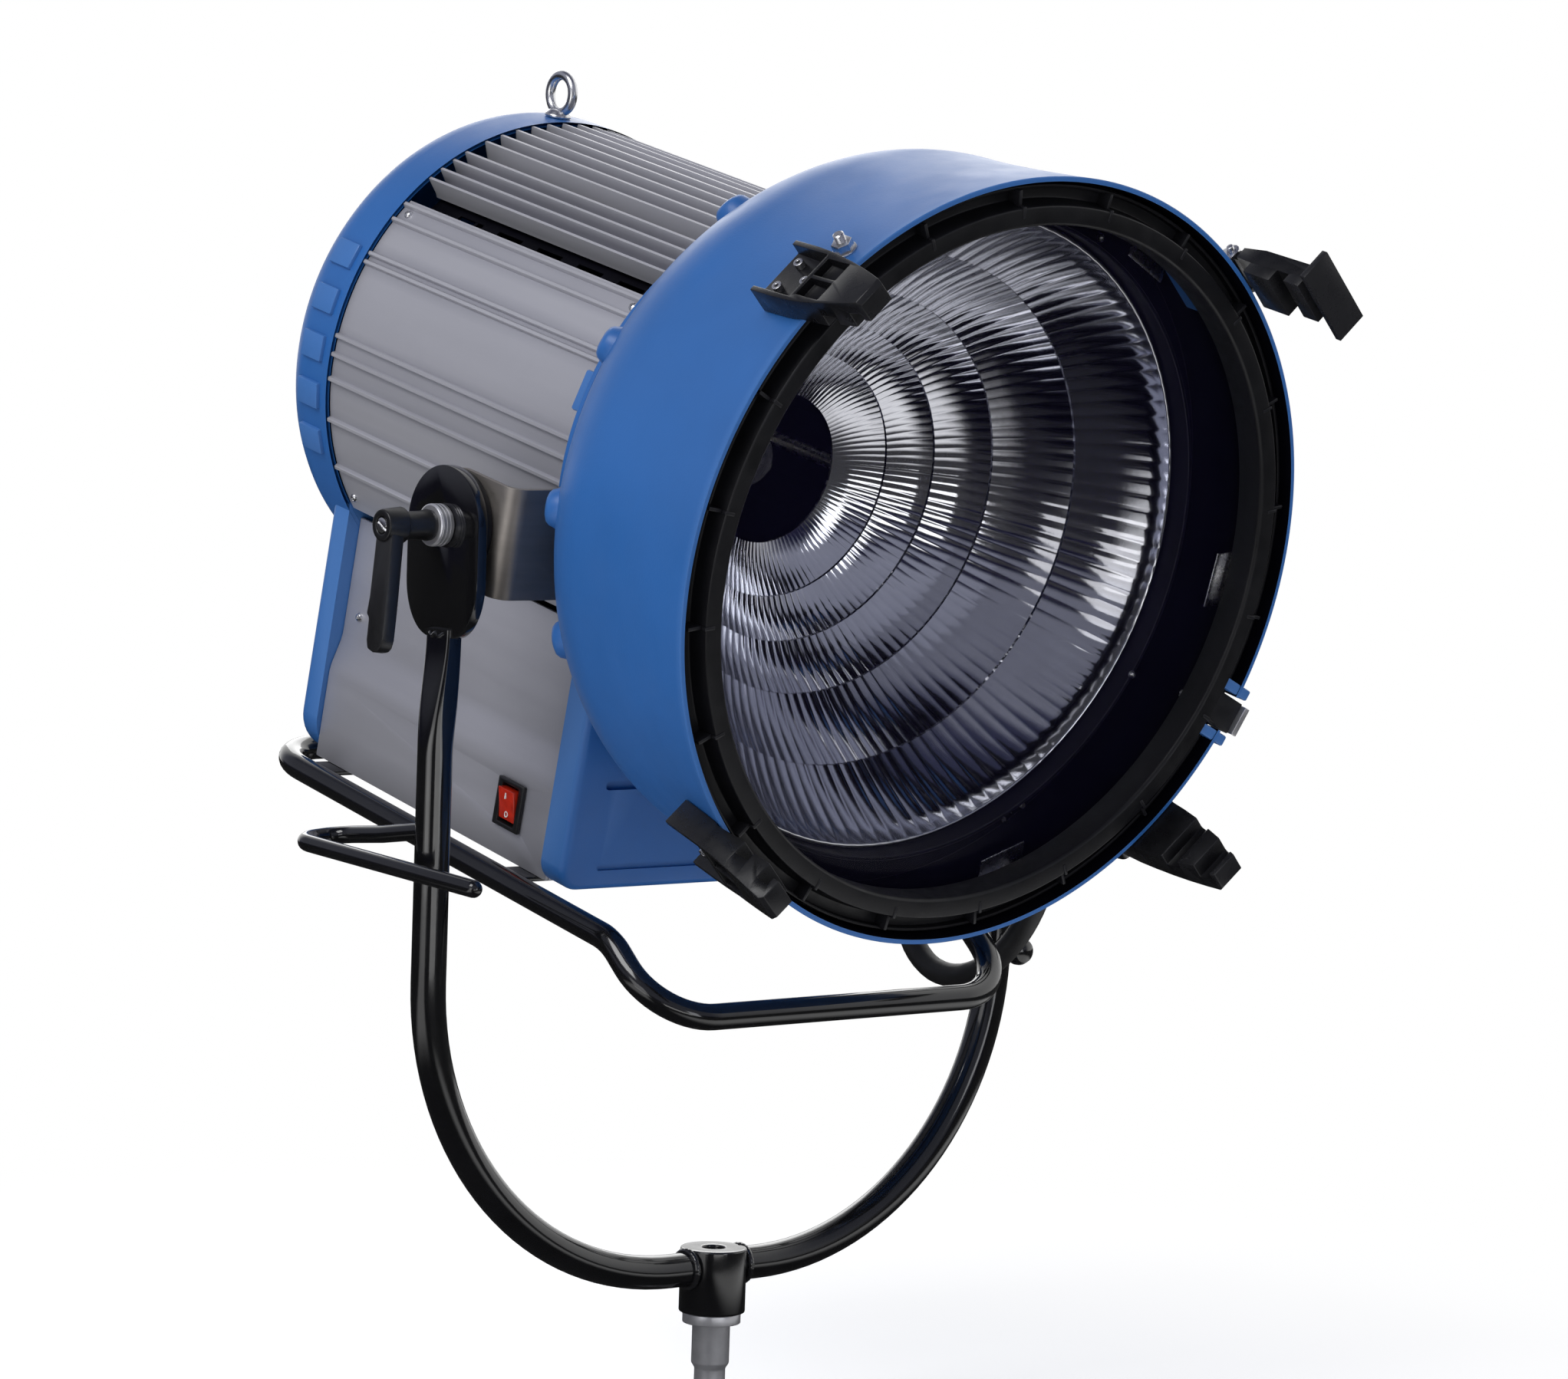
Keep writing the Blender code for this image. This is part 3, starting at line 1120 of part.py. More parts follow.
def claw(name, angle):
    side_view = [(CLAW_BACK, BELL_RIM_RADIUS - 0.013), (CLAW_BACK, CLAW_TOP_BACK),
                 (0.300, BELL_RIM_RADIUS + 0.0215), (CLAW_FRONT - 0.003, CLAW_TOP_FRONT),
                 (CLAW_FRONT, CLAW_TOP_FRONT - 0.003), (CLAW_FRONT, CLAW_LIP_RADIUS),
                 (CLAW_FRONT - 0.005, CLAW_LIP_RADIUS)]
    side_view += claw_teeth(CLAW_FRONT - 0.005) + [(BELL_RIM_FRONT, CLAW_INNER_RADIUS)]
    mesh = slab(name, [side_view], -CLAW_HALF_BACK, CLAW_HALF_BACK, "zy")
    turn = -math.radians(angle)
    made = add_object(name, moved(mesh, turn=turn), BLACK, optical_axis)
    plan = []
    for step in range(7):
        part = step / 6
        width = CLAW_HALF_BACK + (CLAW_HALF_FRONT - CLAW_HALF_BACK) * part ** 1.7
        plan.append((width, 0.268 + (CLAW_FRONT - 0.268) * part))
    plan = [(CLAW_HALF_BACK, CLAW_BACK - 0.01)] + plan + [(CLAW_HALF_FRONT, CLAW_FRONT + 0.01)]
    plan += [(-half, forward) for half, forward in plan[::-1]]
    outside = CLAW_TOP_FRONT + 0.006
    combine(made, [moved(slab("plan", [plan], -outside, -outside + 0.06, "xz"), turn=turn)], "INTERSECT")
    bay = block((-CLAW_HALF_BACK + 0.004, BELL_RIM_RADIUS + 0.0065, CLAW_BACK - 0.01),
                (CLAW_HALF_BACK - 0.004, outside, 0.283))
    windows = [block((0.0015, CLAW_HINGE_RADIUS, 0.287), (0.0165, outside, 0.312)),
               block((-0.0165, CLAW_HINGE_RADIUS, 0.287), (-0.0015, outside, 0.312))]
    cut(made, moved(several([bay] + windows), turn=turn))
    cut(made, bell_cone(GAP))


def safety_claw():
    """The hinged claw: a wide front plate on an arm, with a barrel on its pin."""
    axis_f, axis_r = CLAW_HINGE_FORWARD, CLAW_HINGE_RADIUS
    side_view = [(axis_f + 0.001, axis_r + 0.0038), (0.290, BELL_RIM_RADIUS + 0.0225),
                 (CLAW_FRONT - 0.003, BELL_RIM_RADIUS + 0.024)]
    side_view += claw_teeth(CLAW_FRONT - 0.003) + [(0.2858, CLAW_INNER_RADIUS), (0.2858, BELL_RIM_RADIUS + 0.009)]
    side_view += [(axis_f + 0.001, axis_r - 0.0035)]
    turn = -math.radians(SAFETY_CLAW_ANGLE)
    half = CLAW_ARM_HALF
    mesh = slab("safety_claw", [side_view], -half, half, "zy")
    made = add_object("safety_claw", moved(mesh, turn=turn), BLACK, optical_axis)
    barrel_half = half - 0.0035
    plate = block((-CLAW_PLATE_HALF, CLAW_TOOTH_RADIUS, CLAW_FRONT - 0.005),
                  (CLAW_PLATE_HALF, CLAW_TOP_FRONT, CLAW_FRONT - 0.0001))
    join(made, moved(plate, turn=turn))
    join(made, moved(rod(0.005, (-barrel_half, axis_r, axis_f), (barrel_half, axis_r, axis_f), 20), turn=turn))
    low, high = BELL_RIM_RADIUS - 0.005, CLAW_TOP_FRONT + 0.006
    notches = [block((-0.03, low, axis_f - 0.01), (-barrel_half, high, axis_f + 0.0085)),
               block((barrel_half, low, axis_f - 0.01), (0.03, high, axis_f + 0.0085)),
               rod(0.0025 + GAP, (-0.03, axis_r, axis_f), (0.03, axis_r, axis_f), 16)]
    for notch in notches:
        cut(made, moved(notch, turn=turn))
    sheet = block((-half - 0.0015, BELL_RIM_RADIUS + 0.0005, 0.226), (half + 0.0015, BELL_RIM_RADIUS + 0.003, 0.2665))
    leaf = add_object("safety_claw_leaf", moved(sheet, turn=turn), CHROME, optical_axis)
    foot = BELL_RIM_RADIUS + 0.002
    ear_low, ear_high = barrel_half + GAP, barrel_half + GAP + 0.003
    for side in (-1, 1):
        first, second = sorted((side * ear_low, side * ear_high))
        outline = [(0.248, foot), (0.256, axis_r + 0.0005)] + arc((axis_f, axis_r), 0.0055, 150, 0, 5)
        outline.append((0.2665, foot))
        join(leaf, moved(slab("leaf_ear", [outline], -second, -first, "zy"), turn=turn))
    cut(leaf, moved(rod(0.0025 + GAP, (-0.03, axis_r, axis_f), (0.03, axis_r, axis_f), 16), turn=turn))
    pin = rod(0.0025, (-half - 0.004, axis_r, axis_f), (half + 0.004, axis_r, axis_f), 16)
    add_object("safety_claw_pin", moved(pin, turn=turn), CHROME, optical_axis)


def rim_stud(name, angle, forward, nut_radius, length):
    """A stud with a hexagon nut that stands out of the bell's side."""
    seat = bell_radius(forward + nut_radius) + 0.0006
    turn = -math.radians(angle)
    nut = rod(nut_radius, (0, seat, forward), (0, seat + nut_radius, forward), 6)
    made = add_object(name, moved(nut, turn=turn), CHROME, optical_axis)
    join(made, moved(rod(nut_radius * 0.5, (0, seat + 0.001, forward), (0, seat + length, forward), 12), turn=turn))


for claw_name, claw_angle in CLAW_ANGLES.items():
    claw(claw_name, claw_angle)
safety_claw()
rim_stud("rim_stud_left", -38.5, 0.262, 0.0075, 0.014)
rim_stud("rim_stud_right", 51.0, 0.250, 0.0105, 0.016)


# The lamp on its carriage, the focus drive and the ignitor

def lamp_house():
    envelope = [(0, LAMP_TIP), (0.008, LAMP_TIP - 0.001), (0.012, LAMP_TIP - 0.010)]
    for step in range(9):
        turn = math.pi * (0.16 + 0.68 * step / 8)
        envelope.append((LAMP_RADIUS * math.sin(turn), -0.035 + 0.050 * math.cos(turn)))
    base_back = HOLDER_BLOCK_FRONT + GAP
    envelope += [(0.012, LAMP_BASE_FRONT + 0.008), (0.012, LAMP_BASE_FRONT), (0.020, LAMP_BASE_FRONT),
                 (0.020, base_back), (0, base_back)]
    turned("lamp", envelope, GLASS, optical_axis, steps=16, closed=False)
    half = HOLDER_BLOCK_HALF
    back = HOLDER_BLOCK_FRONT - HOLDER_BLOCK_DEPTH
    shape = block((-half, -SPINDLE_DROP - 0.012, back), (half, 0.030, HOLDER_BLOCK_FRONT))
    made = add_object("lampholder", shape, CERAMIC, optical_axis)
    holes = [rod(ROD_RADIUS + GAP, (side * ROD_SPREAD, 0, back - 0.01), (side * ROD_SPREAD, 0, back + 0.05), 16)
             for side in (-1, 1)]
    holes.append(rod(SPINDLE_RADIUS + GAP, (0, -SPINDLE_DROP, back - 0.01), (0, -SPINDLE_DROP, back + 0.05), 16))
    cut(made, several(holes))


def focus_drive():
    for side_name, side in SIDES.items():
        place = side * ROD_SPREAD
        mesh = rod(ROD_RADIUS, (place, 0, BULKHEAD_FRONT + GAP), (place, 0, WEB_BACK - GAP), 16)
        add_object(f"guide_rod_{side_name}", mesh, CHROME, optical_axis)
    cover_back = DRUM_BACK - GAP - COVER_STRAIGHT - COVER_DOME
    knob_front = cover_back - GAP
    knob = add_object("focus_knob", rod(FOCUS_KNOB_RADIUS, (0, -SPINDLE_DROP, knob_front - FOCUS_KNOB_LENGTH),
                                        (0, -SPINDLE_DROP, knob_front), 24), BLACK, optical_axis)
    grips = []
    for index in range(8):
        turn = 2 * math.pi * index / 8
        x = (FOCUS_KNOB_RADIUS + 0.002) * math.cos(turn)
        y = -SPINDLE_DROP + (FOCUS_KNOB_RADIUS + 0.002) * math.sin(turn)
        grips.append(rod(0.0045, (x, y, knob_front - FOCUS_KNOB_LENGTH - 0.001), (x, y, knob_front - 0.005), 8))
    cut(knob, several(grips))
    join(knob, rod(SPINDLE_RADIUS, (0, -SPINDLE_DROP, knob_front - 0.012), (0, -SPINDLE_DROP, SPINDLE_FRONT), 16))


def ignitor():
    floor = BOX_BOTTOM + BOX_WALL + GAP
    shape = block((-0.085, floor, -0.20), (0.085, floor + 0.080, -0.06))
    made = add_object("ignitor", shape, ALUMINIUM, optical_axis)
    join(made, rod(0.012, (0.045, floor + 0.078, -0.13), (0.045, floor + 0.100, -0.13), 12))


lamp_house()
focus_drive()
ignitor()


# The skid frame below the box

def skid_frame():
    half = SKID_HALF_WIDTH
    corners = [(half, SKID_LEVEL, SKID_BACK, SKID_BEND), (half, SKID_LEVEL, SKID_DIP, SKID_BEND),
               (half, SKID_FRONT_LEVEL, SKID_FRONT, SKID_BEND)]
    corners += [(-x, y, z, radius) for x, y, z, radius in corners[::-1]]
    mesh = tube_mesh("skid_frame", rounded_route(corners, closed=True), SKID_TUBE_RADIUS, cyclic=True, sides=10)
    add_object("skid_frame", mesh, BLACK, optical_axis)
    strip_top = BOX_BOTTOM - GAP
    strip_middle = strip_top - SKID_STRIP_THICKNESS / 2
    offset = max(abs(strip_top - SKID_LEVEL), abs(strip_middle * 2 - strip_top - SKID_LEVEL))
    reach = half - math.sqrt(SKID_TUBE_RADIUS ** 2 - min(offset, SKID_TUBE_RADIUS * 0.4) ** 2) - 2 * GAP
    for name, along in (("skid_strip_front", 0.005), ("skid_strip_rear", -0.245)):
        mesh = block((-reach, strip_top - SKID_STRIP_THICKNESS, along - SKID_STRIP_WIDTH / 2),
                     (reach, strip_top, along + SKID_STRIP_WIDTH / 2))
        add_object(name, mesh, BLACK, optical_axis)


skid_frame()


# The mains switch and the supply cable

def power_switch():
    face = BOX_HALF_WIDTH
    half_long, half_high = SWITCH_LENGTH / 2, SWITCH_HEIGHT / 2
    middle = (SWITCH_LEVEL, SWITCH_FORWARD)
    low = (-face - 0.0035, middle[0] - half_high, middle[1] - half_long)
    high = (-face - GAP, middle[0] + half_high, middle[1] + half_long)
    made = add_object("switch_bezel", block(low, high), BLACK, optical_axis)
    inset = 0.0023
    body_low = (-face - 0.001, middle[0] - half_high + inset, middle[1] - half_long + inset)
    body_high = (-face + 0.018, middle[0] + half_high - inset, middle[1] + half_long - inset)
    join(made, block(body_low, body_high))
    rocker_long, rocker_high = ROCKER_LENGTH / 2, ROCKER_HEIGHT / 2
    cut(made, block((-face - 0.01, middle[0] - rocker_high - 0.0005, middle[1] - rocker_long - 0.0005),
                    (-face + 0.012, middle[0] + rocker_high + 0.0005, middle[1] + rocker_long + 0.0005)))
    reach = rocker_high - 0.002
    outline = [(-face - 0.0075, middle[0] + reach), (-face - 0.0045, middle[0]), (-face - 0.0025, middle[0] - reach),
               (-face + 0.002, middle[0] - reach), (-face + 0.007, middle[0]), (-face + 0.002, middle[0] + reach)]
    mesh = slab("rocker", [outline], middle[1] - rocker_long, middle[1] + rocker_long)
    add_object("rocker_switch", mesh, RED, optical_axis)


# The cable's way by hand, in the head's frame from the tilt axis: right, back, up
CABLE_ROUTE = [(0.1760, 0.0450, -0.2147), (0.1830, 0.0450, -0.2149), (0.2033, 0.0426, -0.2222),
               (0.2252, 0.0374, -0.2399), (0.2365, 0.0291, -0.2648), (0.2382, 0.0173, -0.2909),
               (0.2349, 0.0011, -0.3144), (0.2299, -0.0211, -0.3319), (0.2263, -0.0483, -0.3399),
               (0.2251, -0.0767, -0.3364), (0.2250, -0.1021, -0.3230), (0.2252, -0.1226, -0.3029),
               (0.2260, -0.1375, -0.2783), (0.2274, -0.1462, -0.2510), (0.2292, -0.1482, -0.2223),
               (0.2308, -0.1444, -0.1938), (0.2323, -0.1368, -0.1661), (0.2334, -0.1273, -0.1389),
               (0.2343, -0.1172, -0.1119), (0.2354, -0.1064, -0.0852), (0.2365, -0.0950, -0.0588),
               (0.2372, -0.0838, -0.0323), (0.2371, -0.0748, -0.0049), (0.2360, -0.0697, 0.0234),
               (0.2347, -0.0634, 0.0514), (0.2332, -0.0475, 0.0752), (0.2309, -0.0229, 0.0895),
               (0.2280, 0.0054, 0.0917), (0.2252, 0.0319, 0.0813), (0.2232, 0.0512, 0.0603),
               (0.2222, 0.0598, 0.0330), (0.2220, 0.0590, 0.0043), (0.2220, 0.0537, -0.0240)]


def supply_cable():
    gland_level = GLAND_LEVEL + AXIS_ABOVE_PIVOT
    face = BOX_HALF_WIDTH + GAP
    start = (face, -GLAND_FORWARD, gland_level)
    end = (face + GLAND_LENGTH, -GLAND_FORWARD, gland_level)
    nut = rod(GLAND_RADIUS, start, (face + 0.008, start[1], start[2]), 6)
    made = add_object("cable_gland", nut, BLACK, tilt_axis)
    join(made, rod(GLAND_RADIUS - 0.0015, (face + 0.007, start[1], start[2]), end, 20, CABLE_RADIUS + 0.0015))
    route = [CABLE_ROUTE[0]] + smooth_route(CABLE_ROUTE[1:], 47)
    add_object("supply_cable", tube_mesh("supply_cable", route, CABLE_RADIUS, sides=8), RUBBER, tilt_axis)
    top = Vector(CABLE_ROUTE[-1])
    down = Vector((0, -math.sin(HEAD_TILT), -math.cos(HEAD_TILT)))
    first = top + down * GAP
    sleeve = rod(CABLE_RADIUS + 0.002, first, first + down * 0.022, 20, 0.016)
    plug = add_object("cable_plug", sleeve, BLACK, tilt_axis)
    join(plug, rod(PLUG_RADIUS - 0.003, first + down * 0.020, first + down * (PLUG_LENGTH - 0.03), 24))
    join(plug, rod(PLUG_RADIUS, first + down * (PLUG_LENGTH - 0.032), first + down * PLUG_LENGTH, 24))
    cut(plug, rod(PLUG_RADIUS - 0.004, first + down * (PLUG_LENGTH - 0.022),
                  first + down * (PLUG_LENGTH + 0.01), 24))


power_switch()
supply_cable()
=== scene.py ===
"""The lamp head as it looks in the photograph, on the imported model: each round or edged form is made again
with finer steps from the part's numbers, and its surface gets a procedural finish. Metres, Z up, front -Y."""

from math import asin, atan2, copysign, cos, degrees, hypot, pi, radians, sin, sqrt, tan

import bmesh
import bpy
from mathutils import Matrix, Vector

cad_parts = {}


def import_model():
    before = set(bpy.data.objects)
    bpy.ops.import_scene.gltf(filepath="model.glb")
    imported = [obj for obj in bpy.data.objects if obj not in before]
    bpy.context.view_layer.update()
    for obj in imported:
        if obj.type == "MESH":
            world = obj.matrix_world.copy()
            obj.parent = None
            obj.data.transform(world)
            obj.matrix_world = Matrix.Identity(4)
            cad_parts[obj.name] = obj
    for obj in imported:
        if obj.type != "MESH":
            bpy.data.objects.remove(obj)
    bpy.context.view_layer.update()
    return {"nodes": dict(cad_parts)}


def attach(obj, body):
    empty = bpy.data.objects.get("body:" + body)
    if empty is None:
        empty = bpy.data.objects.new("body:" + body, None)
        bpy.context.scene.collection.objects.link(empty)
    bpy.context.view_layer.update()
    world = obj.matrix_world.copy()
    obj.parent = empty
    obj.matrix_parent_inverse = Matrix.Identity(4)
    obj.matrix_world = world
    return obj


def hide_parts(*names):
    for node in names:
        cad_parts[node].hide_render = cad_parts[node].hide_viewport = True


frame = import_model()

# Frames, as in the part: the head turns about the tilt axis; in OPTICS x is right, y up, z out of the bell
PIVOT_Z = 0.6695
TILT = radians(12.44)
AXIS_ABOVE_PIVOT = 0.049
YOKE = Matrix.Translation((0, 0, PIVOT_Z))
HEAD = YOKE @ Matrix.Rotation(TILT, 4, "X")
OPTICS = HEAD @ Matrix.Translation((0, 0, AXIS_ABOVE_PIVOT)) @ Matrix.Rotation(pi / 2, 4, "X")
PLACES = {"yoke": YOKE, "lever": YOKE}
SIDES = {"left": -1, "right": 1}

# Sizes that several pieces share, as in the part
GAP = 0.0003
DRUM_RADIUS = 0.187
DRUM_FRONT = 0.027
DRUM_BACK = -0.272
COVER_RADIUS = 0.188
PANEL_RADIUS = 0.184
PANEL_WALL = 0.003
FIN_FOOT = 0.173
FIN_WIDTH = 0.0031
BOX_BOTTOM = -0.308
BOX_HALF = 0.144
CASTING_FRONT = 0.0497
RIM_RADIUS = 0.275
RIM_FRONT = 0.284
SIDE_RADIUS = 0.262
SIDE_BACK = 0.154
BACK_RADIUS = 0.160
BELL_FOOT = 0.0543
BELL_WALL = 0.0035
HOLDER_FACE = 0.191
RING_FRONT = 0.286
RING_BACK = 0.262
RING_RADIUS = 0.2680
GLASS_THICK = 0.005
LATCH_ANGLE = 114.5
SAFETY_ANGLE = 43.0
CLAW_ANGLES = {"claw_top_left": -47.0, "claw_bottom_right": 135.0, "claw_bottom_left": -135.0}
TUBE_RADIUS = 0.0125
YOKE_HALF = 0.266
YOKE_DROP = 0.548
YOKE_BEND = 0.225
EAR_INSIDE = 0.257
EAR_OUTSIDE = 0.265
PLATE_OUTSIDE = 0.250
PLATE_RADIUS = 0.040
BOLT_RADIUS = 0.0083
WASHER = 0.011


def put(name, data):
    """An object in the scene that holds the data."""
    thing = bpy.data.objects.new(name, data)
    bpy.context.scene.collection.objects.link(thing)
    return thing


# The camera, where the photograph was taken from

CAMERA_PLACE = (-2.5211, -3.1056, 0.8639)
CAMERA_YAW, CAMERA_PITCH, CAMERA_ROLL = (radians(angle) for angle in (39.61, -4.5, 1.95))
LENS = 126.14


def add_camera():
    ahead = Vector((sin(CAMERA_YAW) * cos(CAMERA_PITCH), cos(CAMERA_YAW) * cos(CAMERA_PITCH),
                    sin(CAMERA_PITCH)))
    right = Vector((cos(CAMERA_YAW), -sin(CAMERA_YAW), 0))
    up = right.cross(ahead)
    turned_right = right * cos(CAMERA_ROLL) + up * sin(CAMERA_ROLL)
    turned_up = up * cos(CAMERA_ROLL) - right * sin(CAMERA_ROLL)
    data = bpy.data.cameras.new("camera")
    data.sensor_width = 36
    data.sensor_fit = "HORIZONTAL"
    data.lens = LENS
    data.clip_end = 200
    camera = put("camera", data)
    turn = Matrix((turned_right, turned_up, -ahead)).transposed().to_4x4()
    camera.matrix_world = Matrix.Translation(CAMERA_PLACE) @ turn
    bpy.context.scene.camera = camera


add_camera()


# Shader nodes

def feed(tree, node, sockets):
    """Each socket of a node gets a number, a colour or a link."""
    for name, value in sockets.items():
        if isinstance(value, bpy.types.NodeSocket):
            tree.links.new(value, node.inputs[name])
        else:
            node.inputs[name].default_value = value


def new_node(tree, kind, sockets=None, **settings):
    node = tree.nodes.new(f"ShaderNode{kind}")
    for name, value in settings.items():
        setattr(node, name, value)
    feed(tree, node, sockets or {})
    return node


def ramp(tree, value, stops):
    """A colour ramp through stops of (position, colour)."""
    node = new_node(tree, "ValToRGB", {"Fac": value})
    elements = node.color_ramp.elements
    for index, (position, colour) in enumerate(stops):
        element = elements[index] if index < 2 else elements.new(position)
        element.position = position
        element.color = (*colour, 1)
    return node.outputs["Color"]


def spread(tree, value, edges, low=0.0, high=1.0, kind="SMOOTHSTEP"):
    """A value between two edges, as a value from low to high."""
    sockets = {"Value": value, "From Min": edges[0], "From Max": edges[1], "To Min": low, "To Max": high}
    return new_node(tree, "MapRange", sockets, interpolation_type=kind).outputs["Result"]


def calculate(tree, operation, *values, clamp=False):
    node = new_node(tree, "Math", dict(enumerate(values)), operation=operation, use_clamp=clamp)
    return node.outputs["Value"]


def along(tree, vector, direction):
    """How far a vector reaches in a direction."""
    return new_node(tree, "VectorMath", {0: vector, 1: direction}, operation="DOT_PRODUCT").outputs["Value"]


def mixed(tree, factor, first, second):
    return new_node(tree, "MixShader", {0: factor, 1: first, 2: second}).outputs["Shader"]


# Finishes, each a material of its own name. The edges are the values between which a noise, or for edge wear
# and the holder's painted edge highlight a corner's sharpness, takes effect

PATCH_EDGES = (0.32, 0.68)
GLOSS_EDGES = (0.3, 0.7)
GLOSS_SCALE = 2.7
WEAR_AND_HIGHLIGHT_EDGES = (0.53, 0.60)
SMEAR_EDGES = (0.35, 0.75)
NOISE_ROUGHNESS = 0.55
GLASS_SKIN = 0.35


def new_material(name):
    material = bpy.data.materials.new(name)
    material.use_nodes = True
    return material, material.node_tree, material.node_tree.nodes["Principled BSDF"]


def finish(name, colour, roughness, metallic=0.0, mottle=0.06, patch=14.0, uneven=0.08, grain=900.0,
           depth=0.0, stretch=(1, 1, 1), coat=0.0, coat_roughness=0.1, wear_and_highlight_colour=None, specular=0.5, wear_and_highlight_amount=0.7):
    """A material with patches in its colour and gloss, a fine grain in its surface, and edges in another
    colour: worn edges, and on the holder a painted highlight.
    """
    material, tree, shader = new_material(name)
    place = new_node(tree, "TexCoord").outputs["Object"]
    sockets = {"Vector": place, "Rotation": (TILT, 0, 0), "Scale": stretch}
    place = new_node(tree, "Mapping", sockets, vector_type="TEXTURE").outputs["Vector"]

    def noise(scale, detail):
        sockets = {"Vector": place, "Scale": scale, "Detail": detail, "Roughness": NOISE_ROUGHNESS}
        return new_node(tree, "TexNoise", sockets).outputs["Fac"]

    dull = [channel * (1 - mottle) for channel in colour]
    clean = [min(1.0, channel * (1 + mottle)) for channel in colour]
    shown = ramp(tree, noise(patch, 5), zip(PATCH_EDGES, (dull, clean)))
    # Sharp corners take another colour: edge wear, and on the holder a painted highlight along its edges
    if wear_and_highlight_colour is not None:
        edges = new_node(tree, "NewGeometry").outputs["Pointiness"]
        edges = ramp(tree, edges, zip(WEAR_AND_HIGHLIGHT_EDGES, ((0, 0, 0), (wear_and_highlight_amount, wear_and_highlight_amount, wear_and_highlight_amount))))
        sockets = {"Factor": edges, "A": shown, "B": (*wear_and_highlight_colour, 1)}
        shown = new_node(tree, "Mix", sockets, data_type="RGBA").outputs["Result"]
    low, high = max(0.02, roughness - uneven / 2), roughness + uneven / 2
    gloss = spread(tree, noise(patch * GLOSS_SCALE, 4), GLOSS_EDGES, low, high, "LINEAR")
    feed(tree, shader, {"Metallic": metallic, "Specular IOR Level": specular, "Coat Weight": coat,
                        "Coat Roughness": coat_roughness, "Base Color": shown, "Roughness": gloss})
    if depth > 0:
        bump = new_node(tree, "Bump", {"Strength": 1.0, "Distance": depth, "Height": noise(grain, 3)})
        feed(tree, shader, {"Normal": bump.outputs["Normal"]})
    return material


def clear(name, tint, cover, roughness):
    """Thin clear glass: mostly seen through, with a glossy skin that grows towards its edge."""
    material, tree, shader = new_material(name)
    place = new_node(tree, "TexCoord").outputs["Object"]
    smear = new_node(tree, "TexNoise", {"Vector": place, "Scale": 7, "Detail": 3}).outputs["Fac"]
    held = spread(tree, smear, SMEAR_EDGES, cover, cover * 1.5, "LINEAR")
    facing = new_node(tree, "LayerWeight", {"Blend": 0.25}).outputs["Fresnel"]
    opacity = calculate(tree, "MULTIPLY_ADD", facing, GLASS_SKIN, held, clamp=True)
    feed(tree, shader, {"Base Color": (*tint, 1), "Roughness": roughness, "Specular IOR Level": 0.8,
                        "Alpha": opacity})
    return material


BLUE = finish("blue_paint", (0.020, 0.118, 0.375), 0.40, patch=9, uneven=0.10, grain=620, depth=0.00007,
              wear_and_highlight_colour=(0.10, 0.24, 0.55), wear_and_highlight_amount=0.5)
ALUMINIUM = finish("anodised_aluminium", (0.400, 0.400, 0.445), 0.44, metallic=0.50, mottle=0.05, patch=30,
                   uneven=0.10, grain=700, depth=0.00003, stretch=(1, 14, 1), wear_and_highlight_colour=(0.54, 0.54, 0.58))
COLLAR = finish("satin_collar", (0.60, 0.60, 0.63), 0.33, metallic=0.8, mottle=0.08, patch=90, grain=1500,
                depth=0.00002)
BLACK = finish("black_gloss_paint", (0.0045, 0.0045, 0.0052), 0.13, mottle=0.2, patch=25, uneven=0.05,
               grain=160, depth=0.00003, coat=0.5, coat_roughness=0.04, wear_and_highlight_colour=(0.03, 0.03, 0.032), wear_and_highlight_amount=0.35)
SATIN = finish("black_satin", (0.0060, 0.0060, 0.0072), 0.30, mottle=0.2, patch=40, uneven=0.12,
               depth=0.00005, wear_and_highlight_colour=(0.045, 0.045, 0.05), specular=0.3, wear_and_highlight_amount=0.5)
DARK = finish("black_casting", (0.0050, 0.0050, 0.0068), 0.42, mottle=0.25, patch=30, uneven=0.14, grain=500,
              depth=0.00007, wear_and_highlight_colour=(0.02, 0.02, 0.025), specular=0.35, wear_and_highlight_amount=0.5)
# A black coat darkened to a navy black: painted shade for the inside of the bell and the vent baffle
SHADE_DARKENED_LINING = finish("black_lining_painted_shade", (0.0016, 0.0015, 0.0042), 0.50, mottle=0.3, patch=22, uneven=0.12, grain=400,
                depth=0.00008, specular=0.10)
# The holder's navy black is the lining's painted shade, and its light edge colour is a painted highlight
HOLDER_SHADE_AND_HIGHLIGHT = finish("holder_paint_shade_and_highlight", (0.0030, 0.0028, 0.0085), 0.42, mottle=0.3, patch=22, uneven=0.12, grain=400,
                depth=0.00006, wear_and_highlight_colour=(0.30, 0.30, 0.33), specular=0.2, wear_and_highlight_amount=0.8)
PLASTIC = finish("black_plastic", (0.0070, 0.0070, 0.0080), 0.36, mottle=0.15, patch=60, uneven=0.10,
                 grain=1400, depth=0.00005, wear_and_highlight_colour=(0.03, 0.03, 0.032), wear_and_highlight_amount=0.4)
STEEL = finish("dark_steel", (0.270, 0.248, 0.228), 0.44, metallic=0.85, mottle=0.18, patch=26, uneven=0.12,
               depth=0.00002, stretch=(8, 8, 1), wear_and_highlight_colour=(0.30, 0.27, 0.23))
CHROME = finish("bright_steel", (0.76, 0.76, 0.77), 0.27, metallic=1.0, mottle=0.05, patch=60, grain=700,
                depth=0.00001)
MIRROR = finish("mirror", (0.84, 0.85, 0.91), 0.085, metallic=1.0, mottle=0.04, patch=40, uneven=0.03,
                grain=150, depth=0.00003)
CERAMIC = finish("ceramic", (0.70, 0.67, 0.60), 0.55, patch=40, depth=0.00004)
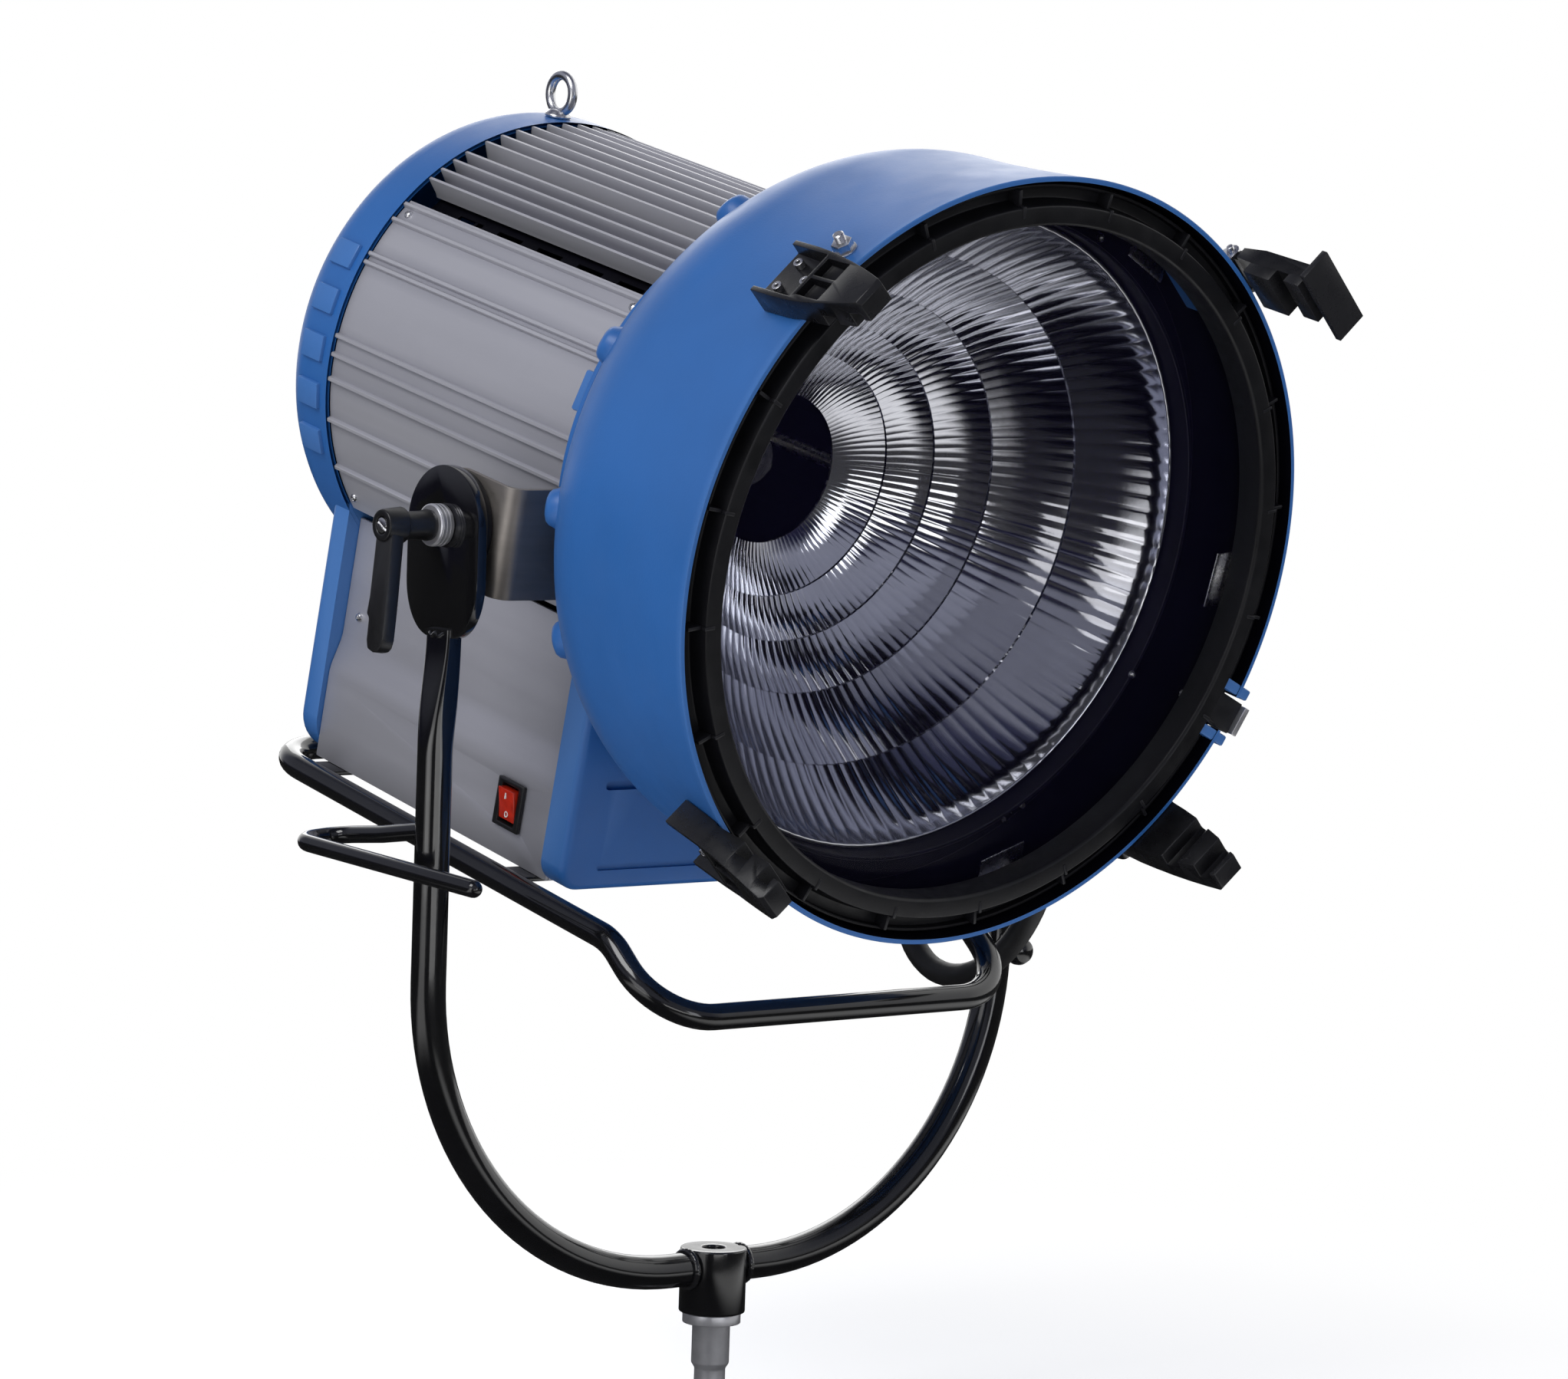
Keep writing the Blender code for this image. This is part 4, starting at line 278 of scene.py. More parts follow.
RUBBER = finish("black_rubber", (0.011, 0.011, 0.012), 0.50, mottle=0.15, patch=35, uneven=0.12, grain=1100,
                depth=0.00006)
RED = finish("red_rocker", (0.50, 0.020, 0.006), 0.20, mottle=0.25, patch=120, uneven=0.05, coat=0.5)
MARK = finish("white_mark", (0.80, 0.80, 0.78), 0.45, mottle=0.04, patch=200)
GLASS = clear("clear_glass", (0.012, 0.010, 0.045), 0.05, 0.03)
ENVELOPE = clear("lamp_glass", (0.25, 0.25, 0.28), 0.10, 0.05)


# Profiles and outlines, as lists of points

def quarter(steps, first=0):
    """The cosine and sine at each step of a quarter turn."""
    turns = [pi / 2 * step / steps for step in range(first, steps + 1)]
    return [(cos(turn), sin(turn)) for turn in turns]


def circle(steps):
    turns = [2 * pi * step / steps for step in range(steps)]
    return [(cos(turn), sin(turn)) for turn in turns]


def polar(radius, degrees):
    """A point on a circle about the optical axis, clockwise from the top as seen from the front."""
    turn = radians(degrees)
    return (radius * sin(turn), radius * cos(turn))


def arc(centre, radius, start, end, steps):
    turns = [radians(start + (end - start) * step / steps) for step in range(steps + 1)]
    return [(centre[0] + radius * cos(turn), centre[1] + radius * sin(turn)) for turn in turns]


def block(inner, outer, low, high):
    """The profile of a ring, or of a disc where inner is 0."""
    return [(inner, low), (outer, low), (outer, high), (inner, high)]


def eased(profile, radius, steps=4, closed=False):
    """A profile with its corners rounded."""
    points = []
    count = len(profile)
    for index, corner in enumerate(profile):
        here = Vector(corner)
        if not closed and index in (0, count - 1):
            points.append(here)
            continue
        before = Vector(profile[index - 1]) - here
        after = Vector(profile[(index + 1) % count]) - here
        if before.length < 1e-7 or after.length < 1e-7:
            continue
        reach = min(radius, before.length * 0.45, after.length * 0.45)
        first = here + before.normalized() * reach
        last = here + after.normalized() * reach
        for step in range(steps + 1):
            t = step / steps
            points.append(first * (1 - t) ** 2 + here * 2 * t * (1 - t) + last * t * t)
    return [tuple(point) for point in points]


def rounded_route(corners, closed=False, arc_steps=14):
    """A path through corners (x, y, z, bend radius), with an arc at each bend."""
    count = len(corners)
    route = []
    for index, (x, y, z, radius) in enumerate(corners):
        here = Vector((x, y, z))
        if not closed and index in (0, count - 1):
            route.append(here)
            continue
        before = (Vector(corners[index - 1][:3]) - here).normalized()
        after = (Vector(corners[(index + 1) % count][:3]) - here).normalized()
        half = before.angle(after) / 2
        centre = here + (before + after).normalized() * radius / sin(half)
        first = here + before * radius / tan(half) - centre
        last = here + after * radius / tan(half) - centre
        sweep = first.angle(last)
        for step in range(arc_steps + 1):
            part = step / arc_steps
            turned = first * sin((1 - part) * sweep) + last * sin(part * sweep)
            route.append(centre + turned / sin(sweep))
    return [tuple(point) for point in route]


def smooth_route(points, count):
    """Evenly spaced points on a smooth curve through the given ones."""
    dense = []
    padded = [points[0]] + list(points) + [points[-1]]
    for index in range(len(points) - 1):
        a, b, c, d = (Vector(p) for p in padded[index:index + 4])
        for step in range(12):
            t = step / 12
            dense.append(0.5 * (2 * b + (c - a) * t + (2 * a - 5 * b + 4 * c - d) * t * t
                                + (3 * b - a - 3 * c + d) * t ** 3))
    dense.append(Vector(points[-1]))
    lengths = [0.0]
    for first, second in zip(dense, dense[1:]):
        lengths.append(lengths[-1] + (second - first).length)
    route = []
    index = 0
    for step in range(count):
        target = lengths[-1] * step / (count - 1)
        while index < len(lengths) - 2 and lengths[index + 1] < target:
            index += 1
        span = lengths[index + 1] - lengths[index]
        route.append(dense[index].lerp(dense[index + 1], (target - lengths[index]) / span))
    return route


# Meshes, in the frame that they are placed with

def real_mesh(thing):
    """The mesh that an object's curve or modifiers make of it."""
    bpy.context.view_layer.update()
    return bpy.data.meshes.new_from_object(thing.evaluated_get(bpy.context.evaluated_depsgraph_get()))


def as_mesh(work, outward=True):
    if outward:
        bmesh.ops.recalc_face_normals(work, faces=work.faces)
    mesh = bpy.data.meshes.new("shape")
    work.to_mesh(mesh)
    work.free()
    return mesh


def joined(mesh, reach, degrees):
    """A mesh with its close points merged and its flat faces joined up."""
    work = bmesh.new()
    work.from_mesh(mesh)
    bmesh.ops.remove_doubles(work, verts=work.verts, dist=reach)
    bmesh.ops.dissolve_limit(work, angle_limit=radians(degrees), verts=work.verts, edges=work.edges)
    return as_mesh(work)


def neighbours(rings, closed):
    return zip(rings, rings[1:] + rings[:1] if closed else rings[1:])


def loft(sections, closed=False):
    """Closed outlines of equal length, joined one to the next."""
    work = bmesh.new()
    rings = [[work.verts.new(point) for point in section] for section in sections]
    for first, second in neighbours(rings, closed):
        for index in range(len(first)):
            following = (index + 1) % len(first)
            work.faces.new((first[index], first[following], second[following], second[index]))
    if not closed:
        work.faces.new(rings[0])
        work.faces.new(rings[-1])
    return as_mesh(work)


def revolve(profile, steps=128, closed=False):
    """A profile of (radius, forward) turned about z."""
    work = bmesh.new()
    rings = []
    for radius, forward in profile:
        if radius < 1e-6:
            rings.append([work.verts.new((0, 0, forward))])
            continue
        rings.append([work.verts.new((radius * s, radius * c, forward)) for c, s in circle(steps)])
    for first, second in neighbours(rings, closed):
        for step in range(steps):
            following = (step + 1) % steps
            corners = [ring[index % len(ring)] for ring, index in ((first, step), (first, following),
                                                                   (second, following), (second, step))]
            corners = list(dict.fromkeys(corners))
            if len(corners) > 2:
                work.faces.new(corners)
    return as_mesh(work)


def lathe_on(profile, base, axis, steps=40, closed=False):
    """A profile turned about an axis through a point."""
    mesh = revolve(profile, steps, closed)
    mesh.transform(Matrix.Translation(base) @ Vector(axis).to_track_quat("Z", "Y").to_matrix().to_4x4())
    return mesh


def bar(radius, start, end, steps=40, ease=0.0):
    """A round or many-sided bar between two points."""
    length = (Vector(end) - Vector(start)).length
    profile = block(0, radius, 0, length)
    return lathe_on(eased(profile, ease, 3) if ease else profile, start, Vector(end) - Vector(start), steps)


def round_section(centre, side, other, radius, sides):
    return [centre + (side * c + other * s) * radius for c, s in circle(sides)]


def tube(points, radius, sides=24, closed=False, round_ends=False):
    """A round bar that follows points, with a frame carried along it."""
    points = [Vector(point) for point in points]
    radii = [radius] * len(points)
    if round_ends:
        caps = []
        for end, inner in ((points[0], points[1]), (points[-1], points[-2])):
            out = (end - inner).normalized()
            caps.append([(end + out * radius * s, max(radius * c, radius * 0.02)) for c, s in quarter(5, 1)])
        caps[0].reverse()
        points = [p for p, _ in caps[0]] + points + [p for p, _ in caps[1]]
        radii = [r for _, r in caps[0]] + radii + [r for _, r in caps[1]]
    count = len(points)
    tangents = []
    for index in range(count):
        before = points[index - 1] if index or closed else points[index]
        after = points[(index + 1) % count] if index < count - 1 or closed else points[index]
        tangents.append((after - before).normalized())
    if closed:
        return closed_tube(points, tangents, radius, sides)
    side = tangents[0].orthogonal().normalized()
    sections = []
    for index, tangent in enumerate(tangents):
        if index:
            side = tangents[index - 1].rotation_difference(tangent) @ side
        side = (side - tangent * side.dot(tangent)).normalized()
        sections.append(round_section(points[index], side, tangent.cross(side), radii[index], sides))
    return loft(sections)


def closed_tube(points, tangents, radius, sides):
    """A closed round bar, with the turn that its frame gathers spread along it."""
    count = len(points)
    sides_at = [tangents[0].orthogonal().normalized()]
    for index in range(1, count + 1):
        sides_at.append(tangents[index - 1].rotation_difference(tangents[index % count]) @ sides_at[-1])
    start, end = sides_at[0], sides_at[-1]
    gathered = atan2(start.cross(end).dot(tangents[0]), start.dot(end))
    sections = []
    for index, tangent in enumerate(tangents):
        turn_back = Matrix.Rotation(-gathered * index / count, 3, tangent)
        across = (turn_back @ sides_at[index]).normalized()
        sections.append(round_section(points[index], across, tangent.cross(across), radius, sides))
    return loft(sections, closed=True)


def box(low, high):
    work = bmesh.new()
    size = [b - a for a, b in zip(low, high)]
    middle = [(a + b) / 2 for a, b in zip(low, high)]
    bmesh.ops.create_cube(work, size=1.0, matrix=Matrix.Translation(middle) @ Matrix.Diagonal((*size, 1)))
    return as_mesh(work)


def polyline(curve, points):
    spline = curve.splines.new("POLY")
    spline.points.add(len(points) - 1)
    for point, place in zip(spline.points, points):
        point.co = (*place, 1)
    return spline


PLANES = {
    "xy": Matrix(((1, 0, 0), (0, 1, 0), (0, 0, 1))),
    "zy": Matrix(((0, 0, -1), (0, 1, 0), (1, 0, 0))),
    "yz": Matrix(((0, 0, 1), (1, 0, 0), (0, 1, 0))),
}


def slab(outlines, low, high, plane="xy"):
    """Outlines in a plane made solid from low to high along its normal. The second outline on are holes."""
    curve = bpy.data.curves.new("slab", "CURVE")
    curve.dimensions = "2D"
    curve.fill_mode = "BOTH"
    curve.extrude = abs(high - low) / 2
    for outline in outlines:
        polyline(curve, [(*point, 0) for point in outline]).use_cyclic_u = True
    holder = put("slab", curve)
    mesh = real_mesh(holder)
    bpy.data.objects.remove(holder, do_unlink=True)
    bpy.data.curves.remove(curve)
    made = joined(mesh, 1e-6, 0.5)
    made.transform(PLANES[plane].to_4x4() @ Matrix.Translation((0, 0, (low + high) / 2)))
    return made


def several(meshes):
    work = bmesh.new()
    for mesh in meshes:
        work.from_mesh(mesh)
    return as_mesh(work, outward=False)


def turned(mesh, angle, axis="Z"):
    mesh.transform(Matrix.Rotation(angle, 4, axis))
    return mesh


def at_angle(mesh, degrees):
    """A shape modelled at the top, turned to its place about the optical axis."""
    return turned(mesh, -radians(degrees))


def screw_head(place, normal, radius=0.0032, height=0.0016):
    """A domed head with a recess in its middle."""
    profile = [(0, height * 0.35), (radius * 0.34, height * 0.35), (radius * 0.42, height * 0.98),
               (radius * 0.72, height * 0.8), (radius * 0.95, height * 0.35), (radius, 0), (radius, -0.001),
               (0, -0.001)]
    return lathe_on(profile, place, normal, 16)


def bead(centre, axis, ring_radius, bead_radius, ripples=26):
    """A weld bead round a joint."""
    axis = Vector(axis).normalized()
    side = axis.orthogonal().normalized()
    other = axis.cross(side)
    points = []
    for step in range(96):
        turn = radians(360 * step / 96)
        swell = ring_radius * (1 + 0.012 * sin(ripples * turn))
        points.append(Vector(centre) + (side * cos(turn) + other * sin(turn)) * swell)
    return tube(points, bead_radius, 8, closed=True)


# Pieces of the scene

def add(name, mesh, surface, replaces="", body="head", place=None, sharp=32, bevel=0.0, cuts=()):
    """A piece that rides on a body, with its cuts and its bevel made real."""
    if place is None:
        place = PLACES.get(body, OPTICS)
    mesh.transform(place)
    mesh.name = name
    thing = put(name, mesh)
    helpers = []
    for shape in cuts:
        shape.transform(place)
        helpers.append(put("helper", shape))
        cut = thing.modifiers.new("difference", "BOOLEAN")
        cut.operation = "DIFFERENCE"
        cut.object = helpers[-1]
    if bevel:
        ease = thing.modifiers.new("bevel", "BEVEL")
        ease.width = bevel
        ease.segments = 2
        ease.limit_method = "ANGLE"
        ease.angle_limit = radians(35)
        ease.miter_outer = "MITER_ARC"
    if helpers or bevel:
        real = real_mesh(thing)
        thing.modifiers.clear()
        thing.data = real
        for helper in helpers:
            bpy.data.objects.remove(helper, do_unlink=True)
    thing.data.materials.clear()
    thing.data.materials.append(surface)
    thing.data.shade_smooth()
    thing.data.set_sharp_from_angle(angle=radians(sharp))
    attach(thing, body)
    if replaces:
        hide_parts(*replaces.split())
    return thing


def soften(node, surface, body="head", bevel=0.0006):
    """A node's own shape with its flat faces joined up and its edges eased."""
    mesh = joined(frame["nodes"][node].data, 2e-6, 1.0)
    return add(f"{node}_look", mesh, surface, node, body, Matrix.Identity(4), bevel=bevel)


# The supply cable, on the part's own route

CABLE_RADIUS = 0.00925
CABLE_ROUTE = [(0.1760, 0.0450, -0.2147), (0.1830, 0.0450, -0.2149), (0.2033, 0.0426, -0.2222),
               (0.2252, 0.0374, -0.2399), (0.2365, 0.0291, -0.2648), (0.2382, 0.0173, -0.2909),
               (0.2349, 0.0011, -0.3144), (0.2299, -0.0211, -0.3319), (0.2263, -0.0483, -0.3399),
               (0.2251, -0.0767, -0.3364), (0.2250, -0.1021, -0.3230), (0.2252, -0.1226, -0.3029),
               (0.2260, -0.1375, -0.2783), (0.2274, -0.1462, -0.2510), (0.2292, -0.1482, -0.2223),
               (0.2308, -0.1444, -0.1938), (0.2323, -0.1368, -0.1661), (0.2334, -0.1273, -0.1389),
               (0.2343, -0.1172, -0.1119), (0.2354, -0.1064, -0.0852), (0.2365, -0.0950, -0.0588),
               (0.2372, -0.0838, -0.0323), (0.2371, -0.0748, -0.0049), (0.2360, -0.0697, 0.0234),
               (0.2347, -0.0634, 0.0514), (0.2332, -0.0475, 0.0752), (0.2309, -0.0229, 0.0895),
               (0.2280, 0.0054, 0.0917), (0.2252, 0.0319, 0.0813), (0.2232, 0.0512, 0.0603),
               (0.2222, 0.0598, 0.0330), (0.2220, 0.0590, 0.0043), (0.2220, 0.0537, -0.0240)]


def supply_cable():
    route = [HEAD @ point for point in smooth_route(CABLE_ROUTE, 110)]
    curve = bpy.data.curves.new("supply_cable_line", "CURVE")
    curve.dimensions = "3D"
    curve.bevel_depth = CABLE_RADIUS
    curve.bevel_resolution = 6
    curve.use_fill_caps = True
    polyline(curve, route).use_smooth = True
    curve.materials.append(RUBBER)
    cable = put("supply_cable_line", curve)
    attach(cable, "head")
    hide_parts("supply_cable")
    plug = soften("cable_plug", PLASTIC, bevel=0.0008)


def cable_gland():
    """A hexagon nut and a tapered boot with rings, at the box's right side."""
    base = (BOX_HALF + GAP, 0.045, -0.2637 + AXIS_ABOVE_PIVOT)
    nut = lathe_on(eased(block(0, 0.0145, 0, 0.008), 0.0008, 3), base, (1, 0, 0), 6)
    profile = [(0, 0.006), (0.0130, 0.006), (0.0130, 0.012)]
    for step in range(5):
        start = 0.012 + step * 0.0036
        radius = 0.0128 - step * 0.00045
        profile += [(radius, start), (radius, start + 0.0022), (radius - 0.0011, start + 0.0024),
                    (radius - 0.0011, start + 0.0034)]
    profile += [(0.0104, 0.0305), (0.0094, 0.0310), (0, 0.0310)]
    boot = lathe_on(profile, base, (1, 0, 0), 48)
    add("cable_gland_boot", several([nut, boot]), PLASTIC, "cable_gland", place=HEAD, sharp=30)


supply_cable()
cable_gland()


# The yoke

EAR_MIDDLE = EAR_OUTSIDE - 0.004
EAR_RADIUS = 0.042
HOOK_RADIUS = 0.00625


def smooth(part):
    return part * part * (3 - 2 * part)


def arm_section(centre, across, part):
    """A round section that turns into a rounded bar of the ear's thickness."""
    thick = TUBE_RADIUS + (0.0070 - TUBE_RADIUS) * smooth(part)
    wide = TUBE_RADIUS + (0.0135 - TUBE_RADIUS) * smooth(part)
    power = 2 / (2 + 4 * smooth(part))
    ring = []
    for c, s in circle(48):
        a = copysign(abs(c) ** power, c) * thick
        b = copysign(abs(s) ** power, s) * wide
        ring.append(centre + across * a + Vector((0, 1, 0)) * b)
    return ring


def yoke_arm(side):
    sections = []
    for step in range(25):
        part = 1 - step / 24
        across = YOKE_HALF + (EAR_MIDDLE - YOKE_HALF) * smooth(part)
        centre = Vector((side * across, 0, -0.073 - 0.090 * step / 24))
        sections.append(arm_section(centre, Vector((side, 0, 0)), part))
    for level in (-0.20, -0.26, -0.31):
        sections.append(arm_section(Vector((side * YOKE_HALF, 0, level)), Vector((side, 0, 0)), 0.0))
    for c, s in quarter(32):
        across = YOKE_HALF - YOKE_BEND + YOKE_BEND * c
        centre = Vector((side * across, 0, YOKE_BEND - YOKE_DROP - YOKE_BEND * s))
        sections.append(arm_section(centre, Vector((side * c, 0, -s)), 0.0))
    return sections


def yoke():
    left = yoke_arm(-1)
    sections = left + [[Vector((0, point.y, point.z)) for point in left[-1]]] + yoke_arm(1)[::-1]
    add("yoke_tube", loft(sections), BLACK, "yoke_arm_left yoke_arm_right", "yoke", sharp=40)
    turns = [2 * pi * step / 60 for step in range(60)]
    for side_name, side in SIDES.items():
        taper = [(0.0115 + (EAR_RADIUS - 0.0115) * c, -0.038 - 0.041 * s) for c, s in quarter(24)]
        outline = arc((0, 0), EAR_RADIUS, 0, 180, 56) + [(-y, z) for y, z in taper] + taper[::-1]
        hole = arc((0, 0), 0.0086, 0, 350, 35)
        low, high = sorted((side * EAR_INSIDE, side * EAR_OUTSIDE))
        ear = slab([outline, hole], low, high, "yz")
        add(f"yoke_ear_{side_name}", ear, BLACK, body="yoke", sharp=38, bevel=0.0011)
        seam = [(side * (EAR_MIDDLE + 0.0072 * cos(t)), 0.0128 * sin(t), -0.0768 + 0.0012 * cos(9 * t))
                for t in turns]
        add(f"ear_weld_{side_name}", tube(seam, 0.0019, 8, closed=True), BLACK, body="yoke", sharp=60)
    top = 0.0145 - YOKE_DROP
    bottom = top - 0.048
    hub = revolve(eased(block(0.0085, 0.0245, top, bottom), 0.0016, 4, True), 96, True)
    add("hub", hub, BLACK, "yoke_hub", "yoke", sharp=40)
    beads = [bead((side * 0.0252, 0, -YOKE_DROP), (1, 0, 0), 0.0132, 0.0026) for side in (-1, 1)]
    add("hub_welds", several(beads), BLACK, body="yoke", sharp=60)
    end = bottom - 0.088
    pin = [(0, end), (0.0125, end), (0.014, end + 0.0015), (0.014, end + 0.030), (0.0115, end + 0.034),
           (0.0115, end + 0.046), (0.014, end + 0.050), (0.014, bottom - 0.008), (0.0215, bottom - 0.008),
           (0.0215, bottom - GAP), (0.0082, bottom - GAP), (0.0082, top - 0.012), (0, top - 0.012)]
    add("spigot_pin", revolve(eased(pin, 0.0008, 3), 64), COLLAR, "spigot", "yoke", sharp=35)


def hooks_and_peg():
    inside = YOKE_HALF - TUBE_RADIUS
    for side_name, side in SIDES.items():
        corners = [(side * (inside + 0.004), 0.0050, -0.2150, 0), (side * 0.2625, 0.0650, -0.2240, 0.03),
                   (side * 0.2650, 0.1130, -0.2290, 0.017), (side * 0.3030, 0.1130, -0.2315, 0.017),
                   (side * 0.3030, -0.1000, -0.2430, 0)]
        rod = tube(rounded_route(corners), HOOK_RADIUS, 24, round_ends=True)
        add(f"hook_{side_name}_rod", rod, BLACK, f"hook_{side_name}", "yoke", sharp=50)
        weld = bead((side * (inside + 0.0045), 0.0135, -0.2160), (0, 1, -0.13), 0.0068, 0.0019, ripples=14)
        add(f"hook_weld_{side_name}", weld, BLACK, body="yoke", sharp=60)
    profile = [(0, 0.0295), (0.004, 0.0290), (0.0085, 0.0265), (0.0108, 0.022), (0.0110, 0.018),
               (0.0098, 0.0165), (0.0098, 0.004), (0, 0.004)]
    peg = lathe_on(profile, (YOKE_HALF, 0.004 - TUBE_RADIUS, -0.325), (0, -1, 0), 48)
    add("peg", peg, BLACK, "cable_peg", "yoke", sharp=30)


yoke()
hooks_and_peg()


# The tilt pivot, its lever and its brackets

def pivots():
    for side_name, side in SIDES.items():
        disc = eased(block(BOLT_RADIUS, 0.039, PLATE_OUTSIDE + GAP, EAR_INSIDE - GAP), 0.0009, 3, True)
        mesh = lathe_on(disc, (0, 0, 0), (side, 0, 0), 96, True)
        add(f"disc_{side_name}", mesh, DARK, f"friction_disc_{side_name}", place=HEAD, sharp=35)
        first = EAR_OUTSIDE + GAP
        collar = [(BOLT_RADIUS, first), (0.0143, first)]
        for at in (first + 0.0016, first + 0.0046, first + 0.0076):
            collar += [(0.0150, at), (0.0150, at + 0.0016), (0.0142, at + 0.0020), (0.0142, at + 0.0026)]
        collar += [(0.0148, first + 0.0104), (0.0138, first + WASHER), (BOLT_RADIUS, first + WASHER)]
        mesh = lathe_on(collar, (0, 0, 0), (side, 0, 0), 72, True)
        add(f"collar_{side_name}", mesh, COLLAR, f"clamp_washer_{side_name}", "yoke", sharp=30)
        soften(f"pivot_bolt_{side_name}", CHROME, bevel=0.0005)


def lever():
    start = EAR_OUTSIDE + WASHER + 2 * GAP
    stem_end = start + 0.024
    hub_end = stem_end + 0.017
    stem = [(BOLT_RADIUS, start), (0.0107, start), (0.0112, start + 0.003), (0.0098, start + 0.008),
            (0.0094, stem_end + 0.002), (BOLT_RADIUS, stem_end + 0.002)]
    hub = eased([(0, stem_end), (0.013, stem_end), (0.0112, hub_end), (0.0062, hub_end),
                 (0.0062, hub_end - 0.003), (0, hub_end - 0.003)], 0.0014, 4)
    pieces = [lathe_on(stem, (0, 0, 0), (-1, 0, 0), 56, True), lathe_on(hub, (0, 0, 0), (-1, 0, 0), 64)]
    add("lever_body", several(pieces), PLASTIC, "tilt_lock_lever", "lever")
    end = -0.089
    outline = [(0.0095, 0.004), (-0.0095, 0.004), (-0.0112, -0.030), (-0.0125, -0.056),
               (-0.0130, end + 0.010), (-0.0115, end + 0.004), (-0.0085, end + 0.001), (-0.002, end),
               (0.0040, end + 0.002), (0.0062, end + 0.008), (0.0066, end + 0.024), (0.0098, end + 0.026),
               (0.0085, -0.050), (0.0088, -0.020)]
    arm = turned(slab([outline], -0.0055, 0.0055, "yz"), atan2(0.010, -end), "Y")
    arm.transform(Matrix.Translation((-(stem_end + hub_end) / 2, 0, 0)))
    add("lever_arm", arm, PLASTIC, body="lever", sharp=36, bevel=0.0016)
    head = [(0, 0.0008), (0.0030, 0.0010), (0.0052, 0.0004), (0.0057, -0.0006), (0.0057, -0.003), (0, -0.003)]
    slot = turned(box((-0.003, -0.007, -0.0009), (0.0012, 0.007, 0.0009)), radians(35), "X")
    slot.transform(Matrix.Translation((-hub_end, 0, 0)))
    mesh = lathe_on(head, (0.0006 - hub_end, 0, 0), (-1, 0, 0), 40)
    add("lever_screw", mesh, CHROME, body="lever", sharp=30, cuts=(slot,))


def bracket(side_name, side):
    """A strap bent from flat plate: a ring sector on the front casting, then back to the pivot."""
    wall, bend, fillet, outer, inner, first, last = 0.004, 0.014, 0.030, 0.188, 0.168, 40, 131
    front = CASTING_FRONT + GAP + wall
    neutral = bend - wall / 2
    bend_start = PLATE_OUTSIDE - bend
    bend_end = bend_start + neutral * pi / 2
    pivot = bend_end + front - bend
    level = -AXIS_ABOVE_PIVOT
    ends = []
    for sign in (1, -1):
        y = level + sign * (PLATE_RADIUS + fillet)
        x = sqrt((outer + fillet) ** 2 - y * y)
        ends.append((x, y, degrees(atan2(-y, -x)) % 360))
    (x1, y1, back1), (x2, y2, back2) = ends
    sweep = degrees(atan2(x1, y1)) - first
    outline = [polar(outer, first + sweep * step / 20) for step in range(20)]
    outline += arc((x1, y1), fillet, back1, 270, 16)
    outline += arc((pivot, level), PLATE_RADIUS, 90, -90, 40)
    outline += arc((x2, y2), fillet, 90, back2, 16) + [polar(outer, last)]
    outline += [polar(inner, last - (last - first) * step / 44) for step in range(45)]
    hole = arc((pivot, level), BOLT_RADIUS, 0, 350, 35)
    work = bmesh.new()
    work.from_mesh(slab([outline, hole], -wall / 2, wall / 2))
    for step in range(17):
        cut_at = bend_start + (bend_end - bend_start) * step / 16
        everything = work.verts[:] + work.edges[:] + work.faces[:]
        bmesh.ops.bisect_plane(work, geom=everything, plane_co=(cut_at, 0, 0), plane_no=(1, 0, 0), dist=1e-7)
    for vertex in work.verts:
        reach, height, depth = vertex.co
        turn = min(max(reach - bend_start, 0), bend_end - bend_start) / neutral
        x = min(reach, bend_start) + (neutral + depth) * sin(turn)
        forward = front - bend + (neutral + depth) * cos(turn) - max(reach - bend_end, 0)
        vertex.co = (side * x, height, forward)
    add(f"bracket_{side_name}_strap", as_mesh(work), STEEL, f"bracket_{side_name}", sharp=30, bevel=0.0006)
    heads = []
    for angle in (47, 62, 122):
        x, y = polar(0.178, angle)
        heads.append(screw_head((side * x, y, front), (0, 0, 1), 0.0042, 0.0024))
    add(f"bracket_{side_name}_screws", several(heads), CHROME, sharp=30)


pivots()
lever()
for side_name, side_sign in SIDES.items():
    bracket(side_name, side_sign)


# The round body

def panel_section(start, end, outer, ridges, height, width, step=1.5):
    """The section of a curved panel, with ridges on its outside."""
    half = degrees(width / 2 / outer)
    count = max(1, round((end - start) / step))
    angles = [start + (end - start) * index / count for index in range(count + 1)]
    stations = [(angle, outer) for angle in angles if all(abs(angle - ridge) > 2 * half for ridge in ridges)]
    for ridge in ridges:
        for side in (-1, 1):
            for out, rise in ((1.3, 0), (0.85, 0.85), (0.6, 1)):
                stations.append((ridge + side * half * out, outer + height * rise))
    stations.sort()
    stations += [(angle, outer - PANEL_WALL) for angle in angles[::-1]]
    return [polar(radius, angle) for angle, radius in stations]


